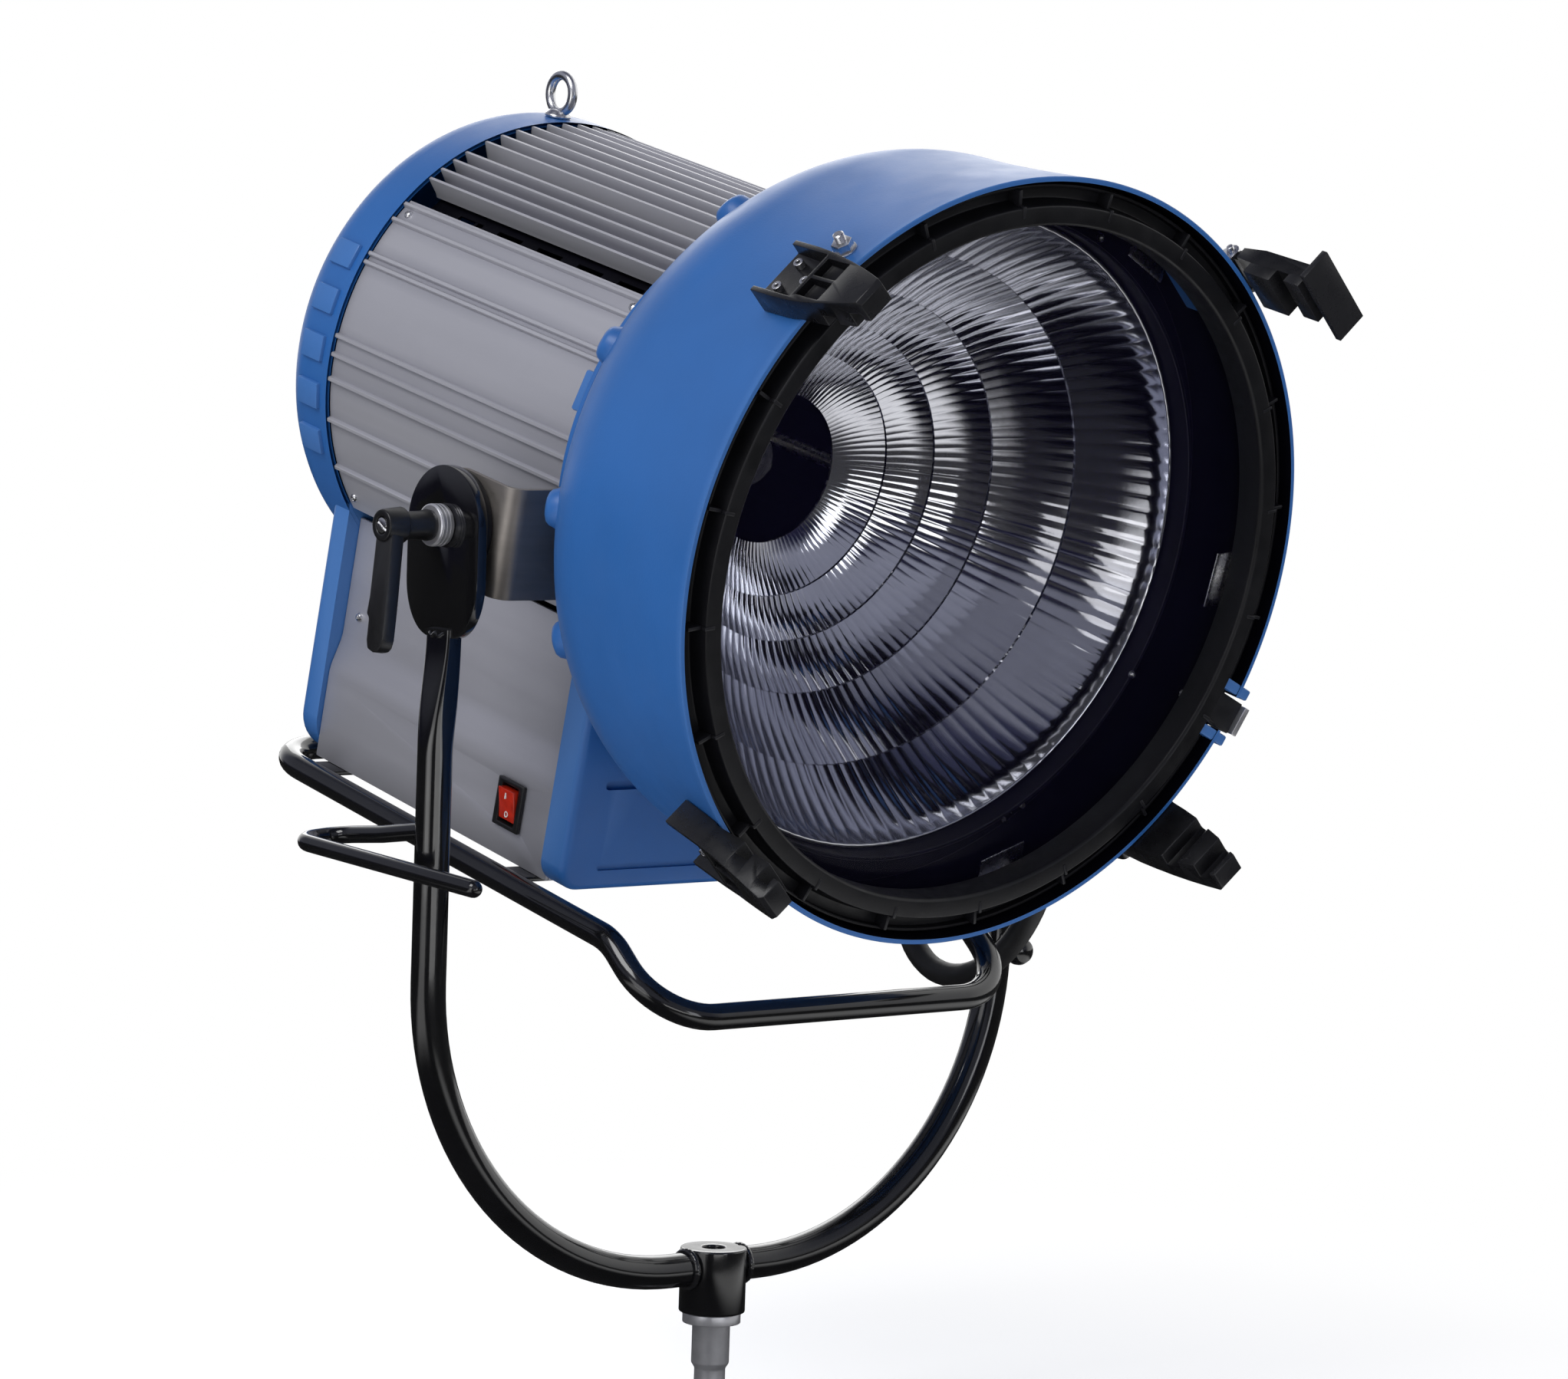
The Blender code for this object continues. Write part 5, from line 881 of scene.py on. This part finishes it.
def body_panels():
    fin_height = DRUM_RADIUS - FIN_FOOT
    ridges = (49.5, 54.0, 63.6, 65.8, 84.0, 88.4, 94.2, 104.0, 116.0)
    side_panel = panel_section(48.0, 128.0, PANEL_RADIUS, ridges, 0.003, 0.0035)
    side_fins = panel_section(29.0, 42.0, FIN_FOOT, (30.0, 33.7, 37.4, 41.0), fin_height, FIN_WIDTH, 0.6)
    for side_name, side in SIDES.items():
        for name, node, section in ((f"side_panel_{side_name}_skin", "side_panel", side_panel),
                                    (f"side_fins_{side_name}", "fin_panel", side_fins)):
            mesh = slab([[(side * x, y) for x, y in section]], DRUM_BACK, DRUM_FRONT)
            add(name, mesh, ALUMINIUM, f"{node}_{side_name}", sharp=28)
    fins = [(index - 5.5) * 4.4 for index in range(12)]
    section = panel_section(fins[0] - 1.0, fins[-1] + 1.0, FIN_FOOT, fins, fin_height, FIN_WIDTH, 0.8)
    add("top_fins", slab([section], DRUM_BACK, DRUM_FRONT), ALUMINIUM, "top_fin_panel", sharp=28)


def box_sides():
    narrow = 0.137
    outside = [(narrow, -0.121), (narrow, -0.214), (BOX_HALF, -0.238), (BOX_HALF, BOX_BOTTOM)]
    inside = [(BOX_HALF, BOX_BOTTOM), (BOX_HALF, -0.237), (narrow, -0.213), (narrow, -0.121)]
    section = eased(outside, 0.006, 5) + [(x - PANEL_WALL, y) for x, y in inside]
    for side_name, side in SIDES.items():
        mesh = slab([[(side * x, y) for x, y in section]], DRUM_BACK, DRUM_FRONT)
        cuts = (box((-0.16, -0.2837, -0.0392), (-0.12, -0.2517, -0.0122)),) if side < 0 else ()
        add(f"box_side_{side_name}", mesh, ALUMINIUM, f"box_panel_{side_name}", sharp=28, bevel=0.0005,
            cuts=cuts)
        heads = []
        for forward, level in ((-0.254, -0.145), (-0.257, -0.193), (0.017, -0.148), (0.017, -0.196)):
            place = (side * narrow, level - AXIS_ABOVE_PIVOT, forward)
            heads.append(screw_head(place, (side, 0, 0), 0.0036, 0.0022))
        for angle, forward in ((51.5, -0.262), (51.5, 0.018), (124.0, -0.262)):
            x, y = polar(PANEL_RADIUS, angle)
            heads.append(screw_head((side * x, y, forward), (side * x, y, 0), 0.0036, 0.0022))
        add(f"panel_screws_{side_name}", several(heads), CHROME, sharp=30)


def box_outline(half, corner, inset, top, steps):
    """The outline of the box below a level, with rounded lower corners."""
    level = BOX_BOTTOM + corner
    right = arc((half - corner, level), corner - inset, 0, -90, steps)
    return [(half - inset, top)] + right + arc((corner - half, level), corner - inset, -90, -180, steps)


def rounded_end(forward, radius):
    """Stations of (forward, inset) that round off an end; a radius below 0 rounds towards the back."""
    return [(forward - radius * (1 - s), abs(radius) * (1 - c)) for c, s in quarter(8)]


def long_hole(left, right, level, radius, steps):
    return arc((right, level), radius, -90, 90, steps) + arc((left, level), radius, 90, 270, steps)


def front_casting():
    back = DRUM_FRONT + GAP
    wide, seat = 0.151, 0.1909
    sections = []
    for forward, inset in [(back + GAP, 0.0)] + rounded_end(0.054, 0.006):
        half, ring = wide - inset, seat + inset
        edge = degrees(asin(half / ring))
        outline = box_outline(wide, 0.018, inset, -sqrt(ring * ring - half * half), 12)
        outline += [polar(-ring, edge - 2 * edge * step / 40) for step in range(41)]
        sections.append([(x, y, forward) for x, y in outline])
    grooves = (slab([long_hole(-0.118, -0.029, -0.2905, 0.0022, 8)], 0.0520, 0.060),
               slab([long_hole(-0.121, -0.088, -0.2285, 0.0034, 8)], 0.0500, 0.060))
    add("casting_box", loft(sections), BLUE, "front_casting", sharp=30, cuts=grooves)
    profile = [(0.150, CASTING_FRONT), (0.205, CASTING_FRONT), (0.205, CASTING_FRONT - 0.005),
               (0.190, CASTING_FRONT - 0.012), (0.190, back), (0.1641, back), (0.1641, 0.0205),
               (0.062, 0.0205), (0.062, 0.024), (0.150, 0.024)]
    add("casting_ring", revolve(eased(profile, 0.0016, 3, True), 180, True), BLUE)
    pads = [at_angle(box((-0.015, 0.186, back + 0.001), (0.015, 0.197, CASTING_FRONT - 0.001)), angle)
            for angle in (73, -73)]
    add("casting_pads", several(pads), BLUE, bevel=0.0016)


def rear_cover():
    front = DRUM_BACK - GAP
    flat = front - 0.030
    end = flat - 0.048

    def dome(inset):
        shell = COVER_RADIUS - inset
        curve = [(shell - 0.07 + 0.07 * c, flat - (0.048 - inset) * s) for c, s in quarter(12, 1)]
        return [(shell, front), (shell, flat)] + curve

    profile = dome(0.0) + [(0, end), (0, end + PANEL_WALL)] + dome(PANEL_WALL)[::-1]
    slots = [slab([long_hole(-0.072, 0.072, -0.075 + 0.025 * index, 0.003, 6)], front - 0.088, front - 0.050)
             for index in (0, 2, 3, 4, 5, 6)]
    knob_hole = bar(0.0046, (0, -0.045, front - 0.2), (0, -0.045, front - 0.05), 24)
    add("cover_dome", revolve(profile, 160), BLUE, "rear_cover", sharp=30, cuts=(several(slots), knob_hole))
    half, top = 0.148, -0.10
    sections = []
    for forward, inset in [(front - GAP, 0.0)] + rounded_end(front - 0.026, -0.010):
        outline = box_outline(half, 0.030, inset, top, 10) + [(inset - half, top)]
        sections.append([(x, y, forward) for x, y in outline])
    add("cover_box", loft(sections), BLUE, sharp=30)
    low, high = (-0.010, COVER_RADIUS - 0.008, front - 0.034), (0.010, COVER_RADIUS + 0.003, front - 0.008)
    ribs = [at_angle(box(low, high), side * (66 + 11 * index)) for side in (-1, 1) for index in range(5)]
    add("cover_louvres", several(ribs), BLUE, bevel=0.0014)


def eye_bolt():
    seat = COVER_RADIUS + GAP
    forward = DRUM_BACK - GAP - 0.018
    loop = [(0, seat + 0.018 + 0.014 * c, forward + 0.014 * s) for c, s in circle(64)]
    foot = eased([(0, 0), (0.010, 0), (0.0102, 0.002), (0.0062, 0.006), (0, 0.006)], 0.001, 3)
    pieces = [tube(loop, 0.0038, 20, closed=True), lathe_on(foot, (0, seat, forward), (0, 1, 0), 40)]
    add("eye", several(pieces), CHROME, "eye_bolt", sharp=40)


body_panels()
box_sides()
front_casting()
rear_cover()
eye_bolt()


# The bell and what it carries

def bell_radius(forward):
    part = (forward - SIDE_BACK) / (RIM_FRONT - SIDE_BACK)
    return SIDE_RADIUS + (RIM_RADIUS - SIDE_RADIUS) * max(part, 0.0) ** 1.3


def bell_side(inset):
    """The bell's flared side and rounded back, from its rim to its foot."""
    points = []
    for step in range(13):
        forward = RIM_FRONT + (SIDE_BACK - RIM_FRONT) * step / 12
        points.append((bell_radius(forward) - inset, forward))
    across = SIDE_RADIUS - BACK_RADIUS - inset
    deep = SIDE_BACK - BELL_FOOT - inset
    return points + [(BACK_RADIUS + across * c, SIDE_BACK - deep * s) for c, s in quarter(22, 1)]


def bell_boss(radius, height):
    """A round boss with a filleted foot, square on the bell's rounded back."""
    top = 0.236
    across = SIDE_RADIUS - BACK_RADIUS
    deep = SIDE_BACK - BELL_FOOT
    out = (top - BACK_RADIUS) / across
    down = sqrt(1 - out * out)
    profile = [(0, height), (radius * 0.42, height * 0.97), (radius * 0.70, height * 0.82),
               (radius * 0.86, height * 0.55), (radius * 0.95, height * 0.15), (radius * 1.1, -0.003),
               (radius * 1.1, -0.006), (0, -0.006)]
    return lathe_on(profile, (0, top, SIDE_BACK - down * deep), (0, out / across, -down / deep), 40)


def bell():
    outer, inner = bell_side(0.0), bell_side(BELL_WALL)
    foot = 0.0500
    profile = [(RIM_RADIUS, RIM_FRONT - 0.0006)] + outer[1:-1]
    profile += [(0.1665, 0.0549), (0.1665, foot), (0.150, foot), (0.150, inner[-1][1])] + inner[::-1]
    profile += [(RIM_RADIUS - 0.0028, RIM_FRONT), (RIM_RADIUS - 0.0006, RIM_FRONT)]
    notch = at_angle(box((-0.0135, 0.25, RING_BACK - 0.001), (0.0135, 0.30, RIM_FRONT + 0.01)), LATCH_ANGLE)
    shell = add("bell_shell", revolve(profile, 220, True), BLUE, "bell", cuts=(notch,)).data
    # The inner faces take the black lining, darkened to a navy black as painted shade inside the bell
    shell.materials.append(SHADE_DARKENED_LINING)
    axis = (OPTICS.to_3x3() @ Vector((0, 0, 1))).normalized()
    for face in shell.polygons:
        across = face.center - OPTICS.translation
        forward = across.dot(axis)
        across -= axis * forward
        if face.normal.dot(across.normalized()) < -0.2 and across.length < bell_radius(forward) - 0.0030:
            face.material_index = 1
    bosses = [at_angle(bell_boss(0.0145, 0.0085), angle) for angle in (-32, -64, -93, -117, 32, 64, 117)]
    add("bell_bosses", several(bosses), BLUE, sharp=40)
    ears = [at_angle(box((low, 0.255, 0.258), (low + 0.008, 0.2835, RIM_FRONT - 0.0005)), LATCH_ANGLE)
            for low in (-0.0225, 0.0145)]
    pad = at_angle(box((-0.021, 0.255, 0.222), (0.021, 0.2752, 0.268)), SAFETY_ANGLE)
    add("bell_ears", several(ears + [pad]), BLUE, bevel=0.0013)


TIERS = (0.056, 0.091, 0.1185, 0.149, 0.188, 0.228)
TIER_STEP = 0.0022
TIER_BULGE = 0.0010
BOWL_FOOT = 0.027
BOWL_RISE = 0.173
BOWL_WALL = 0.0018
FLUTES = 112
FLUTE_DEPTH = 0.0017
STEPS_PER_FLUTE = 8


def paraboloid(radius, tier):
    rise = BOWL_RISE - TIER_STEP * (len(TIERS) - 2)
    part = (radius ** 2 - TIERS[0] ** 2) / (TIERS[-1] ** 2 - TIERS[0] ** 2)
    return BOWL_FOOT + rise * part + TIER_STEP * tier


def reflector():
    """Five tiers of hollow flutes between the hole and the rolled rim, over a plain back."""
    stations = []
    last = len(TIERS) - 2
    for tier in range(last + 1):
        low, high = TIERS[tier], TIERS[tier + 1]
        for step in range(6):
            radius = low + (high - low) * step / 5
            bulge = TIER_BULGE * sin(pi * step / 5)
            flute = {(0, 0): 0.0, (last, 5): 0.6}.get((tier, step), 1.0)
            stations.append((radius + bulge, paraboloid(radius, tier) - bulge * 0.8, flute))
    rim_radius, rim_forward = TIERS[-1], paraboloid(TIERS[-1], last)
    for step in range(1, 9):
        turn = pi * step / 8
        stations.append((rim_radius + BOWL_WALL * (1 - cos(turn)), rim_forward + BOWL_WALL * sin(turn),
                         0.6 - 0.075 * step))
    stations.append((rim_radius + 2 * BOWL_WALL, rim_forward - BOWL_WALL, 0.0))
    for tier in range(last, -1, -1):
        level = paraboloid(TIERS[tier], max(tier - 1, 0)) - 0.0026
        stations.append((TIERS[tier] + BOWL_WALL + 0.002, level, 0.0))
    stations.append((TIERS[0], BOWL_FOOT - BOWL_WALL, 0.0))
    rings = []
    for radius, forward, flute in stations:
        ring = []
        for step, (c, s) in enumerate(circle(FLUTES * STEPS_PER_FLUTE)):
            across = (step % STEPS_PER_FLUTE) / STEPS_PER_FLUTE
            depth = FLUTE_DEPTH * radius * flute * (1 - (2 * across - 1) ** 2)
            ring.append(((radius + depth) * s, (radius + depth) * c, forward - depth * 0.6))
        rings.append(ring)
    add("reflector_bowl", loft(rings, closed=True), MIRROR, "reflector", sharp=24)
    return rim_forward


def reflector_ring(rim_forward):
    seat = bell_radius(0.19) - BELL_WALL - GAP
    band_front, foot = 0.217, HOLDER_FACE - 0.003
    profile = [(0.236, band_front), (0.236, HOLDER_FACE), (seat, HOLDER_FACE), (seat, foot), (0.2306, foot),
               (0.2306, rim_forward - 0.0021), (0.233, rim_forward - 0.0021), (0.233, band_front)]
    # The holder carries painted shade in its colour and a painted highlight on its edges
    add("reflector_holder", revolve(eased(profile, 0.0008, 3, True), 200, True), HOLDER_SHADE_AND_HIGHLIGHT, "reflector_ring")
    heads = []
    for angle in (70, 106, 150, 190, 230, 270, 310, 350, 30):
        heads.append(screw_head((*polar(0.247, angle), HOLDER_FACE), (0, 0, 1), 0.0034, 0.0022))
    heads.append(screw_head((*polar(0.2345, 116), band_front), (0, 0, 1), 0.0028, 0.0020))
    x, y = polar(bell_radius(0.24) - BELL_WALL, 114.6)
    heads.append(screw_head((x, y, 0.24), (-x, -y, 0), 0.0032, 0.0020))
    add("holder_screws", several(heads), CHROME, sharp=30)
    middle = 0.2465
    plate = box((-0.0135, 0.2405, HOLDER_FACE + GAP), (0.0135, 0.2530, HOLDER_FACE + 0.0015 + GAP))
    wire = [(-0.0055, 0.192), (-0.0045, 0.199), (0, 0.202), (0.0045, 0.199), (0.0055, 0.192)]
    clamp = [plate, tube([(x, middle, forward) for x, forward in wire], 0.0018, 12)]
    clamp += [bar(0.0021, (x, middle, 0.192), (x, middle, 0.206), 16, 0.0005) for x in (-0.0095, 0.0095)]
    clamp += [bar(0.0040, (x, middle, 0.1926), (x, middle, 0.1962), 6) for x in (-0.0095, 0.0095)]
    add("wire_clamp", at_angle(several(clamp), 148), CHROME, sharp=30)


def front_ring():
    inner = 0.241
    rebate = RING_RADIUS - 0.0025
    profile = [(RING_RADIUS, RING_FRONT - 0.010), (RING_RADIUS, RING_BACK), (inner, RING_BACK),
               (inner, RING_FRONT - 0.002), (inner + 0.002, RING_FRONT), (0.255, RING_FRONT), (0.257, 0.270),
               (rebate, 0.270), (rebate, RING_FRONT - 0.010)]
    add("glass_ring", revolve(eased(profile, 0.0011, 3, True), 200, True), DARK, "front_ring", "door")
    ribs = []
    for index in range(20):
        rib = box((-0.0013, 0.2535, 0.267), (0.0013, RING_RADIUS - 0.0012, RING_FRONT - 0.0045))
        stub = box((-0.0013, 0.2480, RING_FRONT - 0.004), (0.0013, 0.2565, RING_FRONT + 0.0006))
        ribs += [at_angle(shape, 18 * (index + 0.5)) for shape in (rib, stub)]
    tab = box((-0.0120, 0.262, RING_BACK + 0.001), (0.0120, 0.2875, RING_FRONT - 0.008))
    add("glass_ring_ribs", several(ribs + [at_angle(tab, LATCH_ANGLE)]), DARK, body="door", bevel=0.0006)
    back = RING_BACK - GAP - GLASS_THICK
    add("glass_pane", revolve(eased(block(0, 0.253, back, back + GLASS_THICK), 0.0008, 3), 200), GLASS,
        "front_glass", "door")


def glass_clips():
    """Bent leaf springs behind the glass."""
    outer = RING_RADIUS - 0.006
    back = RING_BACK - GLASS_THICK - 2 * GAP
    leaf = 0.0009
    for index, angle in enumerate((28.0, 95.0, 160.0)):
        line = [(RING_BACK - GAP, outer), (back - 0.009, outer + 0.0003), (back - 0.0112, outer - 0.0045),
                (back - 0.0045, outer - 0.018), (back - 0.0022, outer - 0.0235),
                (back - 0.0008, outer - 0.028)]
        line = eased(line, 0.004, 5)
        beyond = [2 * end - before for end, before in zip(line[-1], line[-2])]
        outside = []
        for (f0, r0), (f1, r1) in zip(line, line[1:] + [beyond]):
            span = hypot(f1 - f0, r1 - r0) or 1.0
            outside.append((f0 + (r1 - r0) / span * leaf, r0 - (f1 - f0) / span * leaf))
        mesh = at_angle(slab([line + outside[::-1]], -0.020, 0.020, "zy"), angle)
        add(f"leaf_clip_{index + 1}", mesh, CHROME, f"glass_clip_{index + 1}", "door", sharp=40, bevel=0.0002)


bell()
reflector_ring(reflector())
front_ring()
glass_clips()
soften("door_latch", COLLAR, "latch", 0.0005)


# The claws, with their screws, and the studs on the bell

def claws():
    socket = eased([(0.0016, 0.0012), (0.0016, 0.0046), (0.0036, 0.0046), (0.0036, -0.001), (0, -0.001),
                    (0, 0.0012)], 0.0004, 2)
    for name, angle in CLAW_ANGLES.items():
        soften(name, SATIN, bevel=0.0007)
        screws = [lathe_on(socket, (x, 0.2815, forward), (0, 1, 0), 24)
                  for x, forward in ((-0.011, 0.254), (0.011, 0.254), (0.0, 0.272))]
        add(f"{name}_screws", at_angle(several(screws), angle), CHROME, sharp=30)
    soften("safety_claw", SATIN, "safety", 0.0007)
    soften("safety_claw_leaf", CHROME, bevel=0.0004)
    soften("safety_claw_pin", CHROME, bevel=0.0004)


def stud(name, node, angle, forward, nut, length):
    """A threaded stud with a hexagon nut on a washer, sized from the nut's radius."""
    pieces = [revolve(eased(block(0, nut, 0.0008, nut), nut * 0.12, 3), 6),
              revolve(eased(block(0, nut * 1.15, 0, 0.0010), 0.0003, 2), 40)]
    thread = [(0, nut)]
    turns = max(3, round((length - nut) / 0.0012))
    pitch = (length - nut) / turns
    for index in range(turns):
        at = nut + pitch * index
        thread += [(nut * 0.44, at), (nut * 0.52, at + pitch * 0.5)]
    thread += [(nut * 0.40, length), (0, length)]
    shape = turned(several(pieces + [revolve(thread, 28)]), -pi / 2, "X")
    shape.transform(Matrix.Translation((0, bell_radius(forward + nut) + 0.0002, forward)))
    add(name, at_angle(shape, angle), CHROME, node, sharp=25)


claws()
stud("stud_left", "rim_stud_left", -38.5, 0.262, 0.0075, 0.014)
stud("stud_right", "rim_stud_right", 51.0, 0.250, 0.0105, 0.016)


# The lamp and its carriage, the knob, the skid frame and the switch

def lamp():
    profile = [(0, 0.020), (0.006, 0.0195), (0.009, 0.012)]
    for step in range(21):
        turn = pi * (0.14 + 0.70 * step / 20)
        profile.append((0.030 * sin(turn), -0.035 + 0.050 * cos(turn)))
    profile += [(0.012, -0.090), (0.012, -0.098)]
    add("lamp_envelope", revolve(profile, 64), ENVELOPE, "lamp", "carriage", sharp=30)
    base = [(0, -0.096), (0.0125, -0.096), (0.0125, -0.105), (0.020, -0.105), (0.020, -0.135), (0, -0.135)]
    add("lamp_base", revolve(eased(base, 0.001, 3), 56), CERAMIC, body="carriage", sharp=30)
    stems = [tube([(x, 0, -0.096), (x, 0, -0.070), (x * 0.3, 0, top)], 0.0011, 10)
             for x, top in ((-0.006, -0.052), (0.006, -0.030))]
    stems.append(tube([(0.006, 0, -0.070), (0.007, 0, -0.010), (0, 0, -0.012)], 0.0009, 10))
    add("lamp_stems", several(stems), STEEL, body="carriage", sharp=40)


def skid():
    half, level, bend = 0.165, -0.314, 0.050
    corners = [(half, level, -0.308, bend), (half, level, 0.137, bend), (half, -0.3505, 0.204, bend)]
    corners += [(-x, y, z, radius) for x, y, z, radius in corners[::-1]]
    loop = tube(rounded_route(corners, True), 0.0095, 28, closed=True)
    add("skid_tube", loop, BLACK, "skid_frame", sharp=50)
    soften("skid_strip_front", BLACK, bevel=0.0007)
    soften("skid_strip_rear", BLACK, bevel=0.0007)


def switch():
    soften("switch_bezel", PLASTIC, bevel=0.0008)
    soften("rocker_switch", RED, "switch", 0.0007)
    face, level, forward = -BOX_HALF, -0.2677, -0.0257
    stroke = box((face - 0.0070, level + 0.0048, forward - 0.0005),
                 (face - 0.0060, level + 0.0092, forward + 0.0005))
    loop = [(face - 0.0034, level - 0.0072 + 0.0020 * s, forward + 0.0017 * c) for c, s in circle(24)]
    marks = several([stroke, tube(loop, 0.0004, 8, closed=True)])
    add("rocker_marks", marks, MARK, body="switch", sharp=40)


lamp()
skid()
switch()
soften("focus_knob", PLASTIC, "knob", 0.0008)


# Nodes that keep their own shape get a finish

# The vent baffle takes the lining's navy black, which carries painted shade
KEPT = {
    "box_floor": ALUMINIUM, "vent_baffle": SHADE_DARKENED_LINING, "guide_rod_left": CHROME, "guide_rod_right": CHROME,
    "ignitor": ALUMINIUM, "lampholder": CERAMIC,
}
for node_name, node_finish in KEPT.items():
    for held in frame["nodes"][node_name].material_slots:
        held.material = node_finish


# The floor, the world and the lamps

# What metal sees of the floor: bright in front, from NEAR_START on and out to NEAR_END, and bright at the
# left, from LEFT_START on, from LEFT_REACH outwards and up to LEFT_END behind. The rest is dim
IN_FRONT = (0.5, -0.9, 0.0)
NEAR_START = (0.22, 0.55)
NEAR_END = (0.75, 1.15)
FAR_FLOOR = 0.05
AT_LEFT = (-0.41, 0.91, 0.0)
LEFT_START = (-0.15, 0.15)
LEFT_REACH = (0.7, 1.2)
LEFT_END = (0.2, 0.8)
DIM_FLOOR = 0.022
# What the camera sees of it: the shadow, lifted a little, fading to white with the distance from the spigot
SHADOW_END = (0.30, 1.2)
SHADOW_LIFT = 0.42
FLOOR_SIZE = 14
BRIGHT_SIDE = (0.94, 0.342, -0.05)
BRIGHT_EDGES = (0.10, 0.55)
ROOM = ((0.52, (0.010, 0.010, 0.028)), (0.59, (0.26, 0.27, 0.33)), (0.84, (0.22, 0.23, 0.29)),
        (0.91, (0.05, 0.055, 0.10)))
SOFT_SKY = (0.93, 0.95, 1.0, 1)
SOFT_STRENGTH = 0.48
WHITE = (1, 1, 1, 1)
LAMPS = (
    ("key", (-2.7, -0.4, 3.3), 2.2, 1.8, 66, (1, 1, 1)),
    ("fill", (0.2, -3.9, 0.55), 0.8, 1.4, 9, (0.95, 0.97, 1)),
    ("side", (-3.50, -1.10, 0.65), 1.9, 1.8, 14, (1, 1, 1)),
    ("back", (2.2, 3.0, 2.2), 2.4, 2.0, 26, (1, 1, 1)),
    ("low", (-0.9, -2.4, 0.12), 1.6, 0.5, 5, (1, 1, 1)),
)
LAMP_TARGET = Vector((0, -0.05, 0.62))


def floor():
    """A white floor that keeps the shadow. Metal sees it bright only close in front and at the left."""
    material, tree, shader = new_material("pale_floor")
    feed(tree, shader, {"Base Color": (0.93, 0.93, 0.94, 1), "Roughness": 0.9})
    place = new_node(tree, "TexCoord").outputs["Object"]
    seen = new_node(tree, "LightPath").outputs
    seen_by_camera = seen["Is Camera Ray"]

    def product(first, second):
        return calculate(tree, "MULTIPLY", first, second)

    def largest(first, second):
        return calculate(tree, "MAXIMUM", first, second)

    def glowing(strength):
        return new_node(tree, "Emission", {"Strength": strength}).outputs["Emission"]

    reach = new_node(tree, "VectorMath", {0: place}, operation="LENGTH").outputs["Value"]
    back = new_node(tree, "SeparateXYZ", {"Vector": place}).outputs["Y"]
    near = spread(tree, along(tree, place, IN_FRONT), NEAR_START)
    near = product(near, spread(tree, reach, NEAR_END, 1.0, FAR_FLOOR))
    left = product(spread(tree, along(tree, place, AT_LEFT), LEFT_START), spread(tree, reach, LEFT_REACH))
    left = product(left, spread(tree, back, LEFT_END, 1.0, 0.0))
    glow = glowing(largest(seen_by_camera, largest(largest(near, left), DIM_FLOOR)))
    lift = glowing(product(seen_by_camera, SHADOW_LIFT))
    lit = new_node(tree, "AddShader", {0: shader.outputs["BSDF"], 1: lift}).outputs["Shader"]
    faded = product(spread(tree, reach, SHADOW_END), seen_by_camera)
    cover = largest(faded, largest(seen["Is Glossy Ray"], seen["Is Transmission Ray"]))
    feed(tree, tree.nodes["Material Output"], {"Surface": mixed(tree, cover, lit, glow)})
    work = bmesh.new()
    bmesh.ops.create_grid(work, x_segments=2, y_segments=2, size=FLOOR_SIZE)
    mesh = as_mesh(work, outward=False)
    mesh.materials.append(material)
    plane = put("floor", mesh)
    plane.location = (0, 0, -0.0005)


def world():
    """White behind the object and a soft sky as light. Metal and glass see a grey room with a bright side."""
    studio = bpy.data.worlds.new("studio")
    bpy.context.scene.world = studio
    studio.use_nodes = True
    tree = studio.node_tree
    tree.nodes.clear()

    def background(colour, strength=1.0):
        return new_node(tree, "Background", {"Color": colour, "Strength": strength}).outputs["Background"]

    view = new_node(tree, "TexCoord").outputs["Generated"]
    seen = new_node(tree, "LightPath").outputs
    height = new_node(tree, "SeparateXYZ", {"Vector": view}).outputs["Z"]
    room = ramp(tree, spread(tree, height, (-1, 1), kind="LINEAR"), ROOM)
    bright = spread(tree, along(tree, view, BRIGHT_SIDE), BRIGHT_EDGES)
    mirrored = calculate(tree, "MAXIMUM", seen["Is Glossy Ray"], seen["Is Transmission Ray"])
    shiny = mixed(tree, bright, background(room), background(WHITE))
    lit = mixed(tree, mirrored, background(SOFT_SKY, SOFT_STRENGTH), shiny)
    new_node(tree, "OutputWorld", {"Surface": mixed(tree, seen["Is Camera Ray"], lit, background(WHITE))})


def lamps():
    for name, place, width, height, power, colour in LAMPS:
        data = bpy.data.lights.new(name, "AREA")
        data.shape = "RECTANGLE"
        data.size = width
        data.size_y = height
        data.energy = power
        data.color = colour
        light = put(name, data)
        light.location = place
        light.rotation_euler = (LAMP_TARGET - Vector(place)).to_track_quat("-Z", "Y").to_euler()


floor()
world()
lamps()
bpy.context.scene.view_settings.view_transform = "Standard"

bpy.context.view_layer.update()
